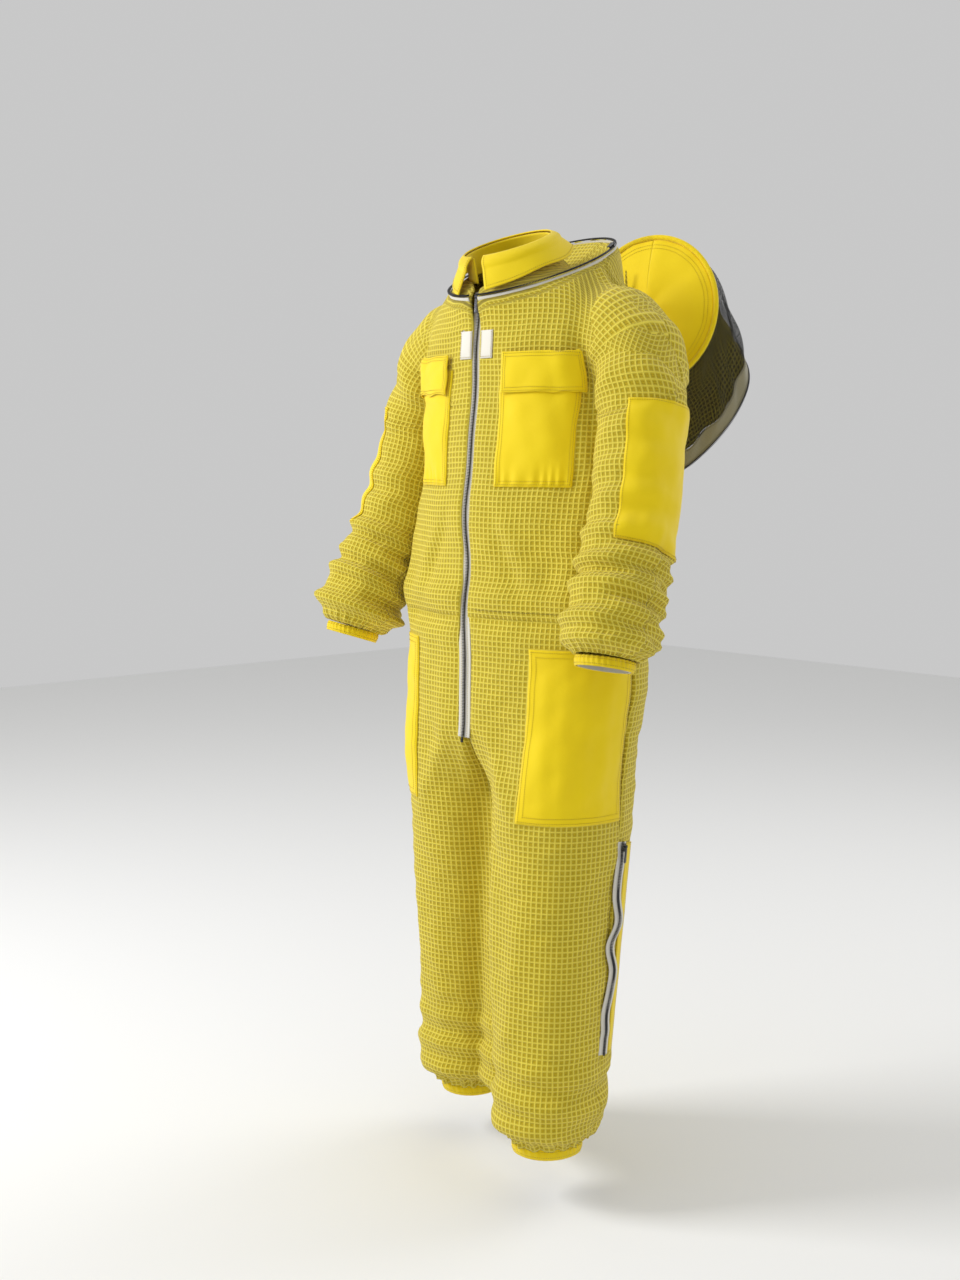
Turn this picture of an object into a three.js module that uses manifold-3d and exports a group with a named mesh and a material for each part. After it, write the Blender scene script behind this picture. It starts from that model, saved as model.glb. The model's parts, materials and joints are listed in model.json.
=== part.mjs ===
// A beekeeping coverall with its veiled hood unzipped and thrown back.
// Millimetres, +Z up, +X to the wearer's left, -Y to the front.
// The origin is the middle of the shoulder line, where the worn suit hangs.
import * as THREE from "three";
import { mergeVertices } from "three/addons/utils/BufferGeometryUtils.js";
import Module from "manifold-3d";

const wasm = await Module();
wasm.setup();

// ---- driving dimensions ----
const wall = 4; // three-layer mesh fabric
const cotton = 1.6; // pockets, patches, facings
const gap = 0.4; // clearance between touching pieces
const seam = 0.3; // clearance along a seam between two panels
const far = 900; // reach of the cutting blocks

const neckHoleZ = 26;
const neckHoleY = -40;
const neckTilt = 22;
const waistZ = -535;
const crotchZ = -772;
const kneeTop = -765;
const kneeEnd = -1290;
const ankleZ = -1372;

const frontTop = { y: -118, z: -14 }; // the straight front closure
const frontEnd = { y: -156, z: -738 };
const frontGap = 22; // between the two front panels, filled by the zip

const toothWidth = 4;
const toothHeight = 2.6;
const tapeThick = 1.4;

const ringRadius = 141; // neck zip, on a tilted circle
const ringTilt = 23;
const ringY = -3;
const ringZ = 27;
const ringSlot = 23; // opening of the ring over the front zip
const ringTapeHeight = 6;
const neckParked = 118; // angle of each neck slider from the front

const collarStandHeight = 34;
const collarThick = 2.4;

const cuffHeight = 16;
const elasticThick = 1.5;
const patchTop = -196;
const patchEnd = -412;

const chestPocket = { from: 58, to: 177, top: -140, end: -326 };
const chestFlap = { from: 64, to: 180, top: -116, end: -180 };
const thighPocket = { from: 132, top: -577, end: -850 };
const loopPatch = { from: 13, to: 38, top: -64, end: -124 };

const legZipTop = -880;
const legZipEnd = -1230;
const legZipTurn = 15; // round the leg from its outermost line towards the back
const legFacing = { from: 14, to: 44 };

const hoodRadius = 133;
const hoodY = 283;
const hoodZ = -28;
const hoodLean = 6;
const hoodYaw = 13;
const hoodDome = 14;
const hoopRadius = 4.5;
const veilThick = 1.6;
const hemShare = 0.8; // where the veil stops and the hem band carries on, from crown to hem
const panelHalf = 62; // the strip that joins the hood to the back of the neck zip
const panelThick = 3;
const pivotRadius = 3.5;

const sliderLong = 13;
const sliderWide = 9;
const sliderHigh = 5.6;
const sliderClear = 0.6;
const plateThick = 2;
const sliderOverhang = 0.1;
const earHigh = 3.2;
const earFrom = 1.6;
const earTo = 2.9;
const earStart = 2.5;
const earEnd = 7;
const hubDown = 4.5;
const hubOut = 1.7;
const hubRadius = 1.3;
const pullLong = 26;
const pullWide = 6;
const pullThick = 1.4;

const torsoSides = 28;
const legSides = 24;
const sleeveSides = 16;
const ringSteps = 40;

// ---- materials ----
function finish(color, roughness, metalness = 0) {
  return new THREE.MeshStandardMaterial({ color, roughness, metalness });
}

const meshFabric = finish(0xe0c41e, 0.85);
const plainCotton = finish(0xf5d90a, 0.75);
const whiteTape = finish(0xe9e7dc, 0.8);
const darkTeeth = finish(0x2a2a2e, 0.45);
const darkMetal = finish(0x33343a, 0.35, 0.8);
const blackNet = finish(0x101010, 0.7);
const beigeHem = finish(0xb9b08c, 0.85);
const whiteElastic = finish(0xdedbd0, 0.9);

// ---- small tools ----
function solidOf(geometry, matrix) {
  const bare = geometry.index ? geometry.toNonIndexed() : geometry.clone();
  bare.deleteAttribute("normal");
  bare.deleteAttribute("uv");
  if (matrix) bare.applyMatrix4(matrix);
  const merged = mergeVertices(bare, 1e-4);
  const mesh = new wasm.Mesh({
    numProp: 3,
    vertProperties: merged.attributes.position.array,
    triVerts: new Uint32Array(merged.index.array),
  });
  return new wasm.Manifold(mesh);
}

function geometryOf(solid) {
  const mesh = solid.getMesh();
  const geometry = new THREE.BufferGeometry();
  const array = new Float32Array(mesh.vertProperties);
  geometry.setAttribute("position", new THREE.BufferAttribute(array, 3));
  geometry.setIndex(new THREE.BufferAttribute(new Uint32Array(mesh.triVerts), 1));
  geometry.computeVertexNormals();
  return geometry;
}

const suit = new THREE.Group();

function add(name, solid, material) {
  const mesh = new THREE.Mesh(geometryOf(solid), material);
  mesh.name = name;
  suit.add(mesh);
}

function block(low, high) {
  const size = high.map((v, i) => v - low[i]);
  const middle = high.map((v, i) => (v + low[i]) / 2);
  const geometry = new THREE.BoxGeometry(...size);
  return solidOf(geometry.translate(...middle));
}

// A block that runs from x0 to x1, with its outline drawn in the plane of Y and Z.
function sideBlock(outline, x0, x1) {
  const shape = new THREE.Shape(outline.map(([y, z]) => new THREE.Vector2(y, z)));
  const geometry = new THREE.ExtrudeGeometry(shape, { depth: x1 - x0, bevelEnabled: false });
  const turn = new THREE.Matrix4().makeBasis(
    new THREE.Vector3(0, 1, 0),
    new THREE.Vector3(0, 0, 1),
    new THREE.Vector3(1, 0, 0),
  );
  turn.setPosition(x0, 0, 0);
  return solidOf(geometry, turn);
}

function mirrored(side, low, high) {
  const xs = [low[0] * side, high[0] * side].sort((a, b) => a - b);
  return block([xs[0], low[1], low[2]], [xs[1], high[1], high[2]]);
}

// ---- lofts: closed rings of points joined into a tube, moved out or in along their normals ----
function ovalPoint(section, turn) {
  const [a, b] = section.half;
  const power = 2 / (section.power ?? 2.3);
  const c = Math.cos(turn);
  const s = Math.sin(turn);
  const across = a * Math.sign(c) * Math.abs(c) ** power;
  const along = b * Math.sign(s) * Math.abs(s) ** power;
  return section.at
    .clone()
    .addScaledVector(section.u, across)
    .addScaledVector(section.v, along);
}

function gridOf(sections, sides) {
  return sections.map((section) =>
    Array.from({ length: sides }, (_, j) => ovalPoint(section, (j / sides) * Math.PI * 2)),
  );
}

function pushed(grid, offset) {
  const rows = grid.length;
  const sides = grid[0].length;
  return grid.map((ring, i) =>
    ring.map((point, j) => {
      const round = new THREE.Vector3().subVectors(ring[(j + 1) % sides], ring[(j + sides - 1) % sides]);
      const before = grid[Math.max(i - 1, 0)][j];
      const after = grid[Math.min(i + 1, rows - 1)][j];
      const down = new THREE.Vector3().subVectors(after, before);
      const normal = new THREE.Vector3().crossVectors(down, round).normalize();
      return point.clone().addScaledVector(normal, offset);
    }),
  );
}

function reached(grid, sections, startReach, endReach) {
  const last = sections.length - 1;
  const ends = [
    [0, new THREE.Vector3().subVectors(sections[0].at, sections[1].at), startReach],
    [last, new THREE.Vector3().subVectors(sections[last].at, sections[last - 1].at), endReach],
  ];
  const moved = ends.map(([index, way, reach]) => {
    way.normalize();
    return grid[index].map((point) => point.clone().addScaledVector(way, reach));
  });
  const opened = grid.slice();
  if (startReach > 0) opened.unshift(moved[0]);
  if (endReach > 0) opened.push(moved[1]);
  if (endReach < 0) opened[opened.length - 1] = moved[1];
  return opened;
}

function middleOf(ring) {
  return ring.reduce((sum, p) => sum.add(p), new THREE.Vector3()).divideScalar(ring.length);
}

// Rings run down the tube, and points run from u towards v, so the outside faces out.
function tubeSolid(grid, matrix) {
  const positions = [];
  const rows = grid.length;
  const sides = grid[0].length;
  const face = (a, b, c) => positions.push(...a.toArray(), ...b.toArray(), ...c.toArray());
  for (let i = 0; i < rows - 1; i++) {
    for (let j = 0; j < sides; j++) {
      const k = (j + 1) % sides;
      face(grid[i][j], grid[i + 1][j], grid[i + 1][k]);
      face(grid[i][j], grid[i + 1][k], grid[i][k]);
    }
  }
  const top = middleOf(grid[0]);
  const bottom = middleOf(grid[rows - 1]);
  for (let j = 0; j < sides; j++) {
    const k = (j + 1) % sides;
    face(top, grid[0][j], grid[0][k]);
    face(bottom, grid[rows - 1][k], grid[rows - 1][j]);
  }
  const geometry = new THREE.BufferGeometry();
  geometry.setAttribute("position", new THREE.Float32BufferAttribute(positions, 3));
  return solidOf(geometry, matrix);
}

function tube(sections, sides, offset = 0, startReach = 0, endReach = 0) {
  return tubeSolid(reached(pushed(gridOf(sections, sides), offset), sections, startReach, endReach));
}

// ---- the torso, in level sections from the neck down ----
function frontLine(z) {
  const share = (z - frontTop.z) / (frontEnd.z - frontTop.z);
  return frontTop.y + share * (frontEnd.y - frontTop.y);
}

function levelSection(x, z, halfWidth, front, back, power) {
  return {
    at: new THREE.Vector3(x, (front + back) / 2, z),
    u: new THREE.Vector3(1, 0, 0),
    v: new THREE.Vector3(0, 1, 0),
    half: [halfWidth, (back - front) / 2],
    power,
  };
}

const torsoSections = [
  [84, 60, -98, 18, 2.1],
  [60, 66, -104, 24, 2.1],
  [40, 70, -108, 34, 2.1],
  [26, 82, -111, 50, 2],
  [16, 96, -110, 66, 1.85],
  [8, 114, -112, 84, 1.75],
  [0, 136, -114, 100, 1.75],
  [-12, 165, -118, 118, 1.75],
  [-36, 197, frontLine(-36), 133, 1.95],
  [-80, 212, frontLine(-80), 140, 2.25],
  [-140, 206, frontLine(-140), 142],
  [-220, 200, frontLine(-220), 140],
  [-320, 207, frontLine(-320), 132],
  [-430, 222, frontLine(-430), 122],
  [-535, 229, frontLine(-535), 118],
  [-640, 230, frontLine(-640), 124],
  [-720, 222, frontLine(-720), 118],
  [-748, 212, frontLine(-748), 108, 2.2],
  [crotchZ, 176, -132, 78, 2.1],
].map(([z, halfWidth, front, back, power = 2.4]) => levelSection(0, z, halfWidth, front, back, power));

// ---- the legs: straight from the crotch to the bloused hem ----
const legLine = {
  left: { topY: -34, endY: -92 },
  right: { topY: -22, endY: -2 },
};

function legCentre(sideName, z) {
  const { topY, endY } = legLine[sideName];
  const share = (z - kneeTop) / (kneeEnd - kneeTop);
  return topY + share * (endY - topY);
}

function legSections(sideName) {
  const side = sideName === "left" ? 1 : -1;
  const rows = [
    [-640, 102, 98, 106],
    [kneeTop, 115, 109, 122],
    [kneeEnd, 141, 86, 92],
    [-1330, 143, 84, 90],
    [-1355, 145, 72, 78],
    [ankleZ, 145, 52, 57],
  ];
  return rows.map(([z, x, a, b]) => {
    const y = legCentre(sideName, z);
    return levelSection(x * side, z, a, y - b, y + b, 2.15);
  });
}

// ---- the sleeves: sections square to the arm ----
const armPaths = {
  left: [
    [118, 6, -78, 62, 60],
    [188, 6, -88, 78, 74],
    [232, 2, -122, 72, 76],
    [256, -14, -180, 66, 72],
    [270, -34, -270, 65, 69],
    [280, -58, -360, 66, 68],
    [290, -92, -450, 69, 70],
    [298, -122, -520, 72, 72],
    [301, -134, -556, 66, 66],
    [302, -139, -576, 44, 44],
  ],
  right: [
    [118, 6, -78, 62, 60],
    [188, 6, -88, 78, 74],
    [230, 4, -122, 72, 76],
    [254, -2, -180, 66, 72],
    [272, -14, -270, 65, 69],
    [284, -38, -360, 66, 68],
    [298, -76, -450, 69, 70],
    [308, -110, -520, 72, 72],
    [312, -124, -556, 66, 66],
    [314, -130, -576, 44, 44],
  ],
};

function sleeveSections(sideName) {
  const side = sideName === "left" ? 1 : -1;
  const rows = armPaths[sideName];
  const points = rows.map(([x, y, z]) => new THREE.Vector3(x * side, y, z));
  return rows.map(([, , , a, b], i) => {
    const before = points[Math.max(i - 1, 0)];
    const after = points[Math.min(i + 1, rows.length - 1)];
    const way = new THREE.Vector3().subVectors(after, before).normalize();
    const v = new THREE.Vector3(0, 1, 0).addScaledVector(way, -way.y).normalize();
    const u = new THREE.Vector3().crossVectors(way, v).normalize();
    return { at: points[i], u, v, half: [a, b], power: 2.1 };
  });
}

const long = 60; // how far a hollow runs past the mouth it opens
const torso = (offset) => tube(torsoSections, torsoSides, offset);
const torsoHollow = tube(torsoSections, torsoSides, -wall, long, -wall);
const sideNames = ["left", "right"];
const sideSign = { left: 1, right: -1 };
const leg = {};
const legHollow = {};
const sleeve = {};
const sleeveHollow = {};
for (const name of sideNames) {
  leg[name] = (offset) => tube(legSections(name), legSides, offset);
  legHollow[name] = tube(legSections(name), legSides, -wall, 0, long);
  sleeve[name] = (offset) => tube(sleeveSections(name), sleeveSides, offset);
  sleeveHollow[name] = tube(sleeveSections(name), sleeveSides, -wall, 0, long);
}

function bodySolid(offset) {
  return torso(offset).add(leg.left(offset)).add(leg.right(offset));
}

// ---- the tilted neck opening ----
function tilted(y, z, degrees) {
  const turn = new THREE.Matrix4().makeRotationX(THREE.MathUtils.degToRad(degrees));
  turn.setPosition(0, y, z);
  return turn;
}

const neckFrame = tilted(neckHoleY, neckHoleZ, neckTilt);
const aboveNeck = solidOf(new THREE.BoxGeometry(far, far, far).translate(0, 0, far / 2), neckFrame);

const bodyShell = bodySolid(0)
  .subtract(torsoHollow)
  .subtract(legHollow.left)
  .subtract(legHollow.right)
  .subtract(sleeveHollow.left)
  .subtract(sleeveHollow.right)
  .subtract(aboveNeck);

// ---- seams ----
const half = seam / 2;

function torsoSideY() {
  return 10;
}

function legSeamY(sideName, z) {
  return legCentre(sideName, z) + 26;
}

function frontOutline(sideName) {
  return [
    [torsoSideY() - half, 200],
    [-far, 200],
    [-far, -1600],
    [legSeamY(sideName, -1600) - half, -1600],
    [legSeamY(sideName, -800) - half, -800],
    [torsoSideY() - half, waistZ],
  ];
}

function backOutline(sideName) {
  return [
    [torsoSideY() + half, 200],
    [torsoSideY() + half, waistZ],
    [legSeamY(sideName, -800) + half, -800],
    [legSeamY(sideName, -1600) + half, -1600],
    [far, -1600],
    [far, 200],
  ];
}

function sideRange(sideName, inner) {
  return sideName === "left" ? [inner, far] : [-far, -inner];
}

function addPanels() {
  const frontAbove = block([-far, -far, waistZ + half], [far, far, far]);
  const below = block([-far, -far, -1700], [far, far, waistZ - half]);
  const zipSlot = block([-frontGap / 2, -far, frontEnd.z - 8], [frontGap / 2, -40, far]);
  for (const name of sideNames) {
    const front = sideBlock(frontOutline(name), ...sideRange(name, half));
    const shell = bodyShell.intersect(front).subtract(zipSlot);
    add("front_panel_" + name, shell.intersect(frontAbove), meshFabric);
    add("leg_front_" + name, shell.intersect(below), meshFabric);
    const back = sideBlock(backOutline(name), ...sideRange(name, half));
    add("leg_back_" + name, bodyShell.intersect(back).intersect(below), meshFabric);
  }
  const back = sideBlock(backOutline("left"), -far, far);
  add("back_panel", bodyShell.intersect(back).intersect(frontAbove), meshFabric);
}

addPanels();

// ---- sleeves, cuffs and their elastics ----
function armPoint(name, z) {
  const rows = armPaths[name];
  const i = Math.max(1, rows.findIndex((row) => row[2] <= z));
  const [x0, y0, z0] = rows[i - 1];
  const [x1, y1, z1] = rows[i];
  const share = (z - z0) / (z1 - z0);
  return { x: x0 + share * (x1 - x0), y: y0 + share * (y1 - y0) };
}

function sleeveOutline(name, towards) {
  const seamPoints = armPaths[name].slice(1).map(([, y, z]) => [y + (towards * seam) / 2, z]);
  const last = seamPoints[seamPoints.length - 1];
  return [
    [towards * far, 200],
    [seamPoints[0][0], 200],
    ...seamPoints,
    [last[0], -800],
    [towards * far, -800],
  ];
}

// A short band that carries on from the mouth of a sleeve or leg, and the elastic inside it.
function addBand(name, sections, sides) {
  const [before, mouth] = sections.slice(-2);
  const way = new THREE.Vector3().subVectors(mouth.at, before.at).normalize();
  const start = { ...mouth, at: mouth.at.clone().addScaledVector(way, gap) };
  const end = { ...mouth, at: mouth.at.clone().addScaledVector(way, gap + cuffHeight) };
  const band = (offset, reach) => tube([start, end], sides, offset, reach, reach);
  const inside = -wall - seam;
  add(name + "_cuff", band(0, 0).subtract(band(-wall, long)), meshFabric);
  const elastic = band(inside, -gap).subtract(band(inside - elasticThick, long));
  add(name + "_elastic", elastic, whiteElastic);
}

function addSleeves() {
  for (const name of sideNames) {
    const shell = sleeve[name](0).subtract(sleeveHollow[name]).subtract(torso(gap));
    const [low, high] = sideRange(name, 60);
    for (const [part, towards] of [["front", -1], ["back", 1]]) {
      const side = sideBlock(sleeveOutline(name, towards), low, high);
      add("sleeve_" + part + "_" + name, shell.intersect(side), meshFabric);
    }
    addBand("wrist_" + name, sleeveSections(name), sleeveSides);
    addBand("ankle_" + name, legSections(name), legSides);
  }
}

// ---- cotton laid on the fabric ----
function layer(solid, low, thick) {
  return solid(low + thick).subtract(solid(low));
}

function addPatches() {
  for (const name of sideNames) {
    const top = armPoint(name, patchTop);
    const end = armPoint(name, patchEnd);
    const outline = [
      [top.y - 50, patchTop],
      [end.y - 50, patchEnd],
      [end.y + 50, patchEnd],
      [top.y + 50, patchTop],
    ];
    const inner = (top.x + end.x) / 2 - 8;
    const region = sideBlock(outline, ...sideRange(name, inner));
    add("elbow_patch_" + name, layer(sleeve[name], gap, cotton).intersect(region), plainCotton);
  }
}

const flapLift = gap + cotton + gap;

function addPockets() {
  for (const name of sideNames) {
    const side = sideSign[name];
    const piece = (at, low) =>
      layer(torso, low, cotton).intersect(mirrored(side, [at.from, -far, at.end], [at.to, -40, at.top]));
    add("chest_pocket_" + name, piece(chestPocket, gap), plainCotton);
    add("chest_flap_" + name, piece(chestFlap, flapLift), plainCotton);
    add("hook_patch_" + name, piece(loopPatch, gap), whiteTape);
    const { from, top, end } = thighPocket;
    const region = mirrored(side, [from, -far, end], [far, torsoSideY() - 26, top]);
    add("thigh_pocket_" + name, layer(bodySolid, gap, cotton).intersect(region), plainCotton);
  }
}

// ---- zips ----
// In a zip's own frame the teeth run down along -Z, the outside is -Y and the tapes lie along X.
const toothFront = -1;
const toothBack = toothFront + toothHeight;
const tapeFront = 0.3;

function inFrame(frame, low, high) {
  const size = high.map((v, i) => v - low[i]);
  const middle = high.map((v, i) => (v + low[i]) / 2);
  return solidOf(new THREE.BoxGeometry(...size).translate(...middle), frame);
}

function addSlider(name, frame) {
  const side = toothWidth / 2 + sliderClear;
  const plateBack = toothFront - sliderClear;
  const plateFront = plateBack - plateThick;
  const halfWide = sliderWide / 2;
  const legBack = plateFront + sliderHigh - plateThick + sliderOverhang;
  const earTop = plateFront - earHigh;
  let body = inFrame(frame, [-halfWide, plateFront, -sliderLong], [halfWide, plateBack, 0]);
  for (const way of [-1, 1]) {
    const xs = (a, b) => [a * way, b * way].sort((p, q) => p - q);
    const [legLow, legHigh] = xs(side, halfWide);
    body = body.add(inFrame(frame, [legLow, plateFront, -sliderLong], [legHigh, legBack, 0]));
    const [earInner, earOuter] = xs(earFrom, earTo);
    body = body.add(inFrame(frame, [earInner, earTop, -earEnd], [earOuter, plateFront + 0.5, -earStart]));
  }
  add(name + "_slider", body, darkMetal);
  const hubY = plateFront - hubOut;
  const hub = new THREE.CylinderGeometry(hubRadius, hubRadius, 2 * (earFrom - seam), 12);
  hub.rotateZ(Math.PI / 2).translate(0, hubY, -hubDown);
  const neck = inFrame(frame, [-1, hubY - 1.2, -2 * hubDown], [1, hubY + 0.2, -hubDown]);
  const tabBack = hubY + 0.2;
  const tab = inFrame(
    frame,
    [-pullWide / 2, tabBack - pullThick, -hubDown - pullLong],
    [pullWide / 2, tabBack, 0.5 - 2 * hubDown],
  );
  add(name + "_pull", solidOf(hub, frame).add(neck).add(tab), darkMetal);
}

const frontSlope = Math.atan2(frontEnd.y - frontTop.y, frontTop.z - frontEnd.z);
const frontLong = Math.hypot(frontEnd.y - frontTop.y, frontTop.z - frontEnd.z);
const frontFrame = tilted(frontTop.y, frontTop.z, THREE.MathUtils.radToDeg(frontSlope));
const frontStart = 4;
const stopLong = 7;

function addFrontZip() {
  const outer = frontGap / 2 - gap;
  const inner = toothWidth / 2 + seam;
  for (const name of sideNames) {
    const xs = [inner * sideSign[name], outer * sideSign[name]].sort((a, b) => a - b);
    const tape = inFrame(
      frontFrame,
      [xs[0], tapeFront, -frontLong],
      [xs[1], tapeFront + tapeThick, -frontStart],
    );
    add("front_tape_" + name, tape, whiteTape);
  }
  const teethEnd = -frontLong + stopLong + seam;
  const halfWide = toothWidth / 2;
  const teeth = inFrame(
    frontFrame,
    [-halfWide, toothFront, teethEnd],
    [halfWide, toothBack, -frontStart],
  );
  add("front_teeth", teeth, darkTeeth);
  const stop = inFrame(
    frontFrame,
    [-halfWide, toothFront - 0.6, -frontLong],
    [halfWide, toothBack, -frontLong + stopLong],
  );
  add("front_stop", stop, darkMetal);
  const sliderFrame = frontFrame.clone().multiply(new THREE.Matrix4().makeTranslation(0, 0, -8));
  addSlider("front", sliderFrame);
}

// The leg zip follows one straight line of the leg, at a corner between two of its facets.
const legTurn = (Math.round((legZipTurn / 360) * legSides) / legSides) * Math.PI * 2;

function legZipPoint(name, z) {
  const sections = legSections(name).slice(1, 3);
  const turn = name === "left" ? legTurn : Math.PI - legTurn;
  const [top, end] = sections.map((section) => ovalPoint(section, turn));
  return top.lerp(end, (z - sections[0].at.z) / (sections[1].at.z - sections[0].at.z));
}

function legZipFrame(name, z) {
  const point = legZipPoint(name, z);
  const up = new THREE.Vector3().subVectors(point, legZipPoint(name, z - 100)).normalize();
  const section = legSections(name)[1];
  const share = (z - kneeTop) / (kneeEnd - kneeTop);
  const centreX = section.at.x + share * (legSections(name)[2].at.x - section.at.x);
  const out = new THREE.Vector3(point.x - centreX, point.y - legCentre(name, z), 0);
  out.addScaledVector(up, -out.dot(up)).normalize();
  const back = out.clone().negate();
  const across = new THREE.Vector3().crossVectors(back, up);
  const lifted = point.clone().addScaledVector(out, gap + tapeThick + seam + toothBack);
  return new THREE.Matrix4().makeBasis(across, back, up).setPosition(lifted);
}

function addLegZips() {
  const reach = 11;
  for (const name of sideNames) {
    const frame = legZipFrame(name, legZipTop);
    const span = legZipPoint(name, legZipTop).distanceTo(legZipPoint(name, legZipEnd));
    const strip = (from, to) => inFrame(frame, [from, -20, -span], [to, 60, 0]);
    const towardsBack = sideSign[name];
    const [low, high] = [legFacing.from * towardsBack, legFacing.to * towardsBack].sort((a, b) => a - b);
    const tape = layer(leg[name], gap, tapeThick).intersect(strip(-reach, reach));
    add("leg_tape_" + name, tape, whiteTape);
    const facing = layer(leg[name], gap, cotton).intersect(strip(low, high));
    add("leg_facing_" + name, facing, plainCotton);
    const halfWide = toothWidth / 2;
    const teeth = inFrame(frame, [-halfWide, toothFront, -span + 6], [halfWide, toothBack, -6]);
    add("leg_teeth_" + name, teeth, darkTeeth);
    const start = frame.clone().multiply(new THREE.Matrix4().makeTranslation(0, 0, -8));
    addSlider("leg_" + name, start);
  }
}

addSleeves();
addPatches();
addPockets();
addFrontZip();
addLegZips();

// ---- the neck zip: a tilted ring round the shoulders ----
const ringFrame = tilted(ringY, ringZ, ringTilt);

function turned(profile, frame, steps = ringSteps) {
  const points = profile.map(([r, h]) => new THREE.Vector2(r, h));
  const geometry = new THREE.LatheGeometry([...points, points[0]], steps);
  return solidOf(geometry.rotateX(Math.PI / 2), frame);
}

function addNeckZip() {
  const slot = block([-ringSlot / 2, -far, -far], [ringSlot / 2, 0, far]);
  const under = bodySolid(gap).add(sleeve.left(gap)).add(sleeve.right(gap));
  const halfTape = tapeThick / 2;
  const tapeEnd = -ringTapeHeight;
  const band = (r0, h0, r1, h1) => [
    [r0 - halfTape, h0],
    [r0 + halfTape, h0],
    [r1 + halfTape, h1],
    [r1 - halfTape, h1],
  ];
  const tape = turned(band(ringRadius, tapeEnd, ringRadius, 0), ringFrame);
  add("neck_tape", tape.subtract(slot).subtract(under), whiteTape);
  const stand = turned(band(114, -66, ringRadius, tapeEnd - seam), ringFrame);
  add("neck_stand", stand.subtract(slot).subtract(under), meshFabric);
  const halfWide = toothWidth / 2;
  const low = seam;
  const high = low + toothHeight;
  const teeth = [
    [ringRadius - halfWide, low],
    [ringRadius + halfWide, low],
    [ringRadius + halfWide, high],
    [ringRadius - halfWide, high],
  ];
  add("neck_teeth", turned(teeth, ringFrame).subtract(slot), darkTeeth);
  for (const name of sideNames) {
    const turn = THREE.MathUtils.degToRad(neckParked) * sideSign[name];
    const radial = new THREE.Vector3(Math.sin(turn), -Math.cos(turn), 0);
    const up = new THREE.Vector3(0, 0, 1);
    const down = up.clone().negate();
    const along = new THREE.Vector3().crossVectors(radial, down);
    const place = radial.clone().multiplyScalar(ringRadius).setZ(low + toothBack);
    radial.multiplyScalar(sideSign[name]);
    along.multiplyScalar(sideSign[name]);
    const local = new THREE.Matrix4().makeBasis(radial, down, along).setPosition(place);
    const centred = new THREE.Matrix4().makeTranslation(0, 0, sliderLong / 2);
    addSlider("neck_" + name, ringFrame.clone().multiply(local).multiply(centred));
  }
}

// ---- the collar ----
function collarRing(low, high) {
  return [high, low].map(([a, b, h]) => ({
    at: new THREE.Vector3(0, -3, h),
    u: new THREE.Vector3(1, 0, 0),
    v: new THREE.Vector3(0, 1, 0),
    half: [a, b],
    power: 2.1,
  }));
}

function collarShell(low, high) {
  const sections = collarRing(low, high);
  const outside = tubeSolid(gridOf(sections, torsoSides), neckFrame);
  const hollow = reached(pushed(gridOf(sections, torsoSides), -collarThick), sections, long, long);
  return outside.subtract(tubeSolid(hollow, neckFrame));
}

function addCollar() {
  const opening = (width) => block([-width / 2, -far, -far], [width / 2, neckHoleY, far]);
  const stand = collarShell([79, 74, gap], [73, 69, collarStandHeight]);
  add("collar_stand", stand.subtract(opening(frontGap)), plainCotton);
  const fall = collarShell([106, 98, 2], [74.8, 70.8, collarStandHeight + 2.5]);
  add("collar_fall", fall.subtract(opening(frontGap + 8)), plainCotton);
}

// ---- the hood, turned back: its crown hangs upright behind the shoulders ----
const yaw = new THREE.Matrix4().makeRotationZ(THREE.MathUtils.degToRad(hoodYaw));
const hoodFrame = new THREE.Matrix4()
  .makeTranslation(0, hoodY, hoodZ)
  .multiply(yaw)
  .multiply(tilted(0, 0, 90 - hoodLean));
const hemPath = [
  [0, 428, -84],
  [84, 424, -100],
  [132, 392, -152],
  [118, 356, -226],
  [60, 322, -294],
  [0, 308, -312],
];
const veilSteps = 28;
const veilRings = 4;

function hemPoint(share) {
  const there = hemPath.map((p) => new THREE.Vector3(...p));
  const back = hemPath.slice(1, -1).reverse().map(([x, y, z]) => new THREE.Vector3(-x, y, z));
  return new THREE.CatmullRomCurve3([...there, ...back], true).getPoint(share);
}

function rimPoint(share, radius, depth) {
  const turn = Math.PI / 2 - share * Math.PI * 2;
  const local = new THREE.Vector3(Math.cos(turn) * radius, Math.sin(turn) * radius, -depth);
  return local.applyMatrix4(hoodFrame);
}

// Rings from the rim of the crown to the hem, running the same way round as the lofts.
function veilGrid(from, to, rings) {
  const depth = hoopRadius + gap;
  return Array.from({ length: rings + 1 }, (_, i) => {
    const share = from + (i / rings) * (to - from);
    const belly = 16 * Math.sin(Math.PI * share);
    return Array.from({ length: veilSteps }, (_, j) => {
      const round = 1 - j / veilSteps;
      const rim = rimPoint(round, hoodRadius - hoopRadius + belly, depth);
      return rim.lerp(hemPoint(round), share);
    });
  });
}

function skin(grid, low, high) {
  const middles = grid.map((ring) => ({ at: middleOf(ring) }));
  const outside = tubeSolid(pushed(grid, high));
  return outside.subtract(tubeSolid(reached(pushed(grid, low), middles, long, long)));
}

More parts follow.
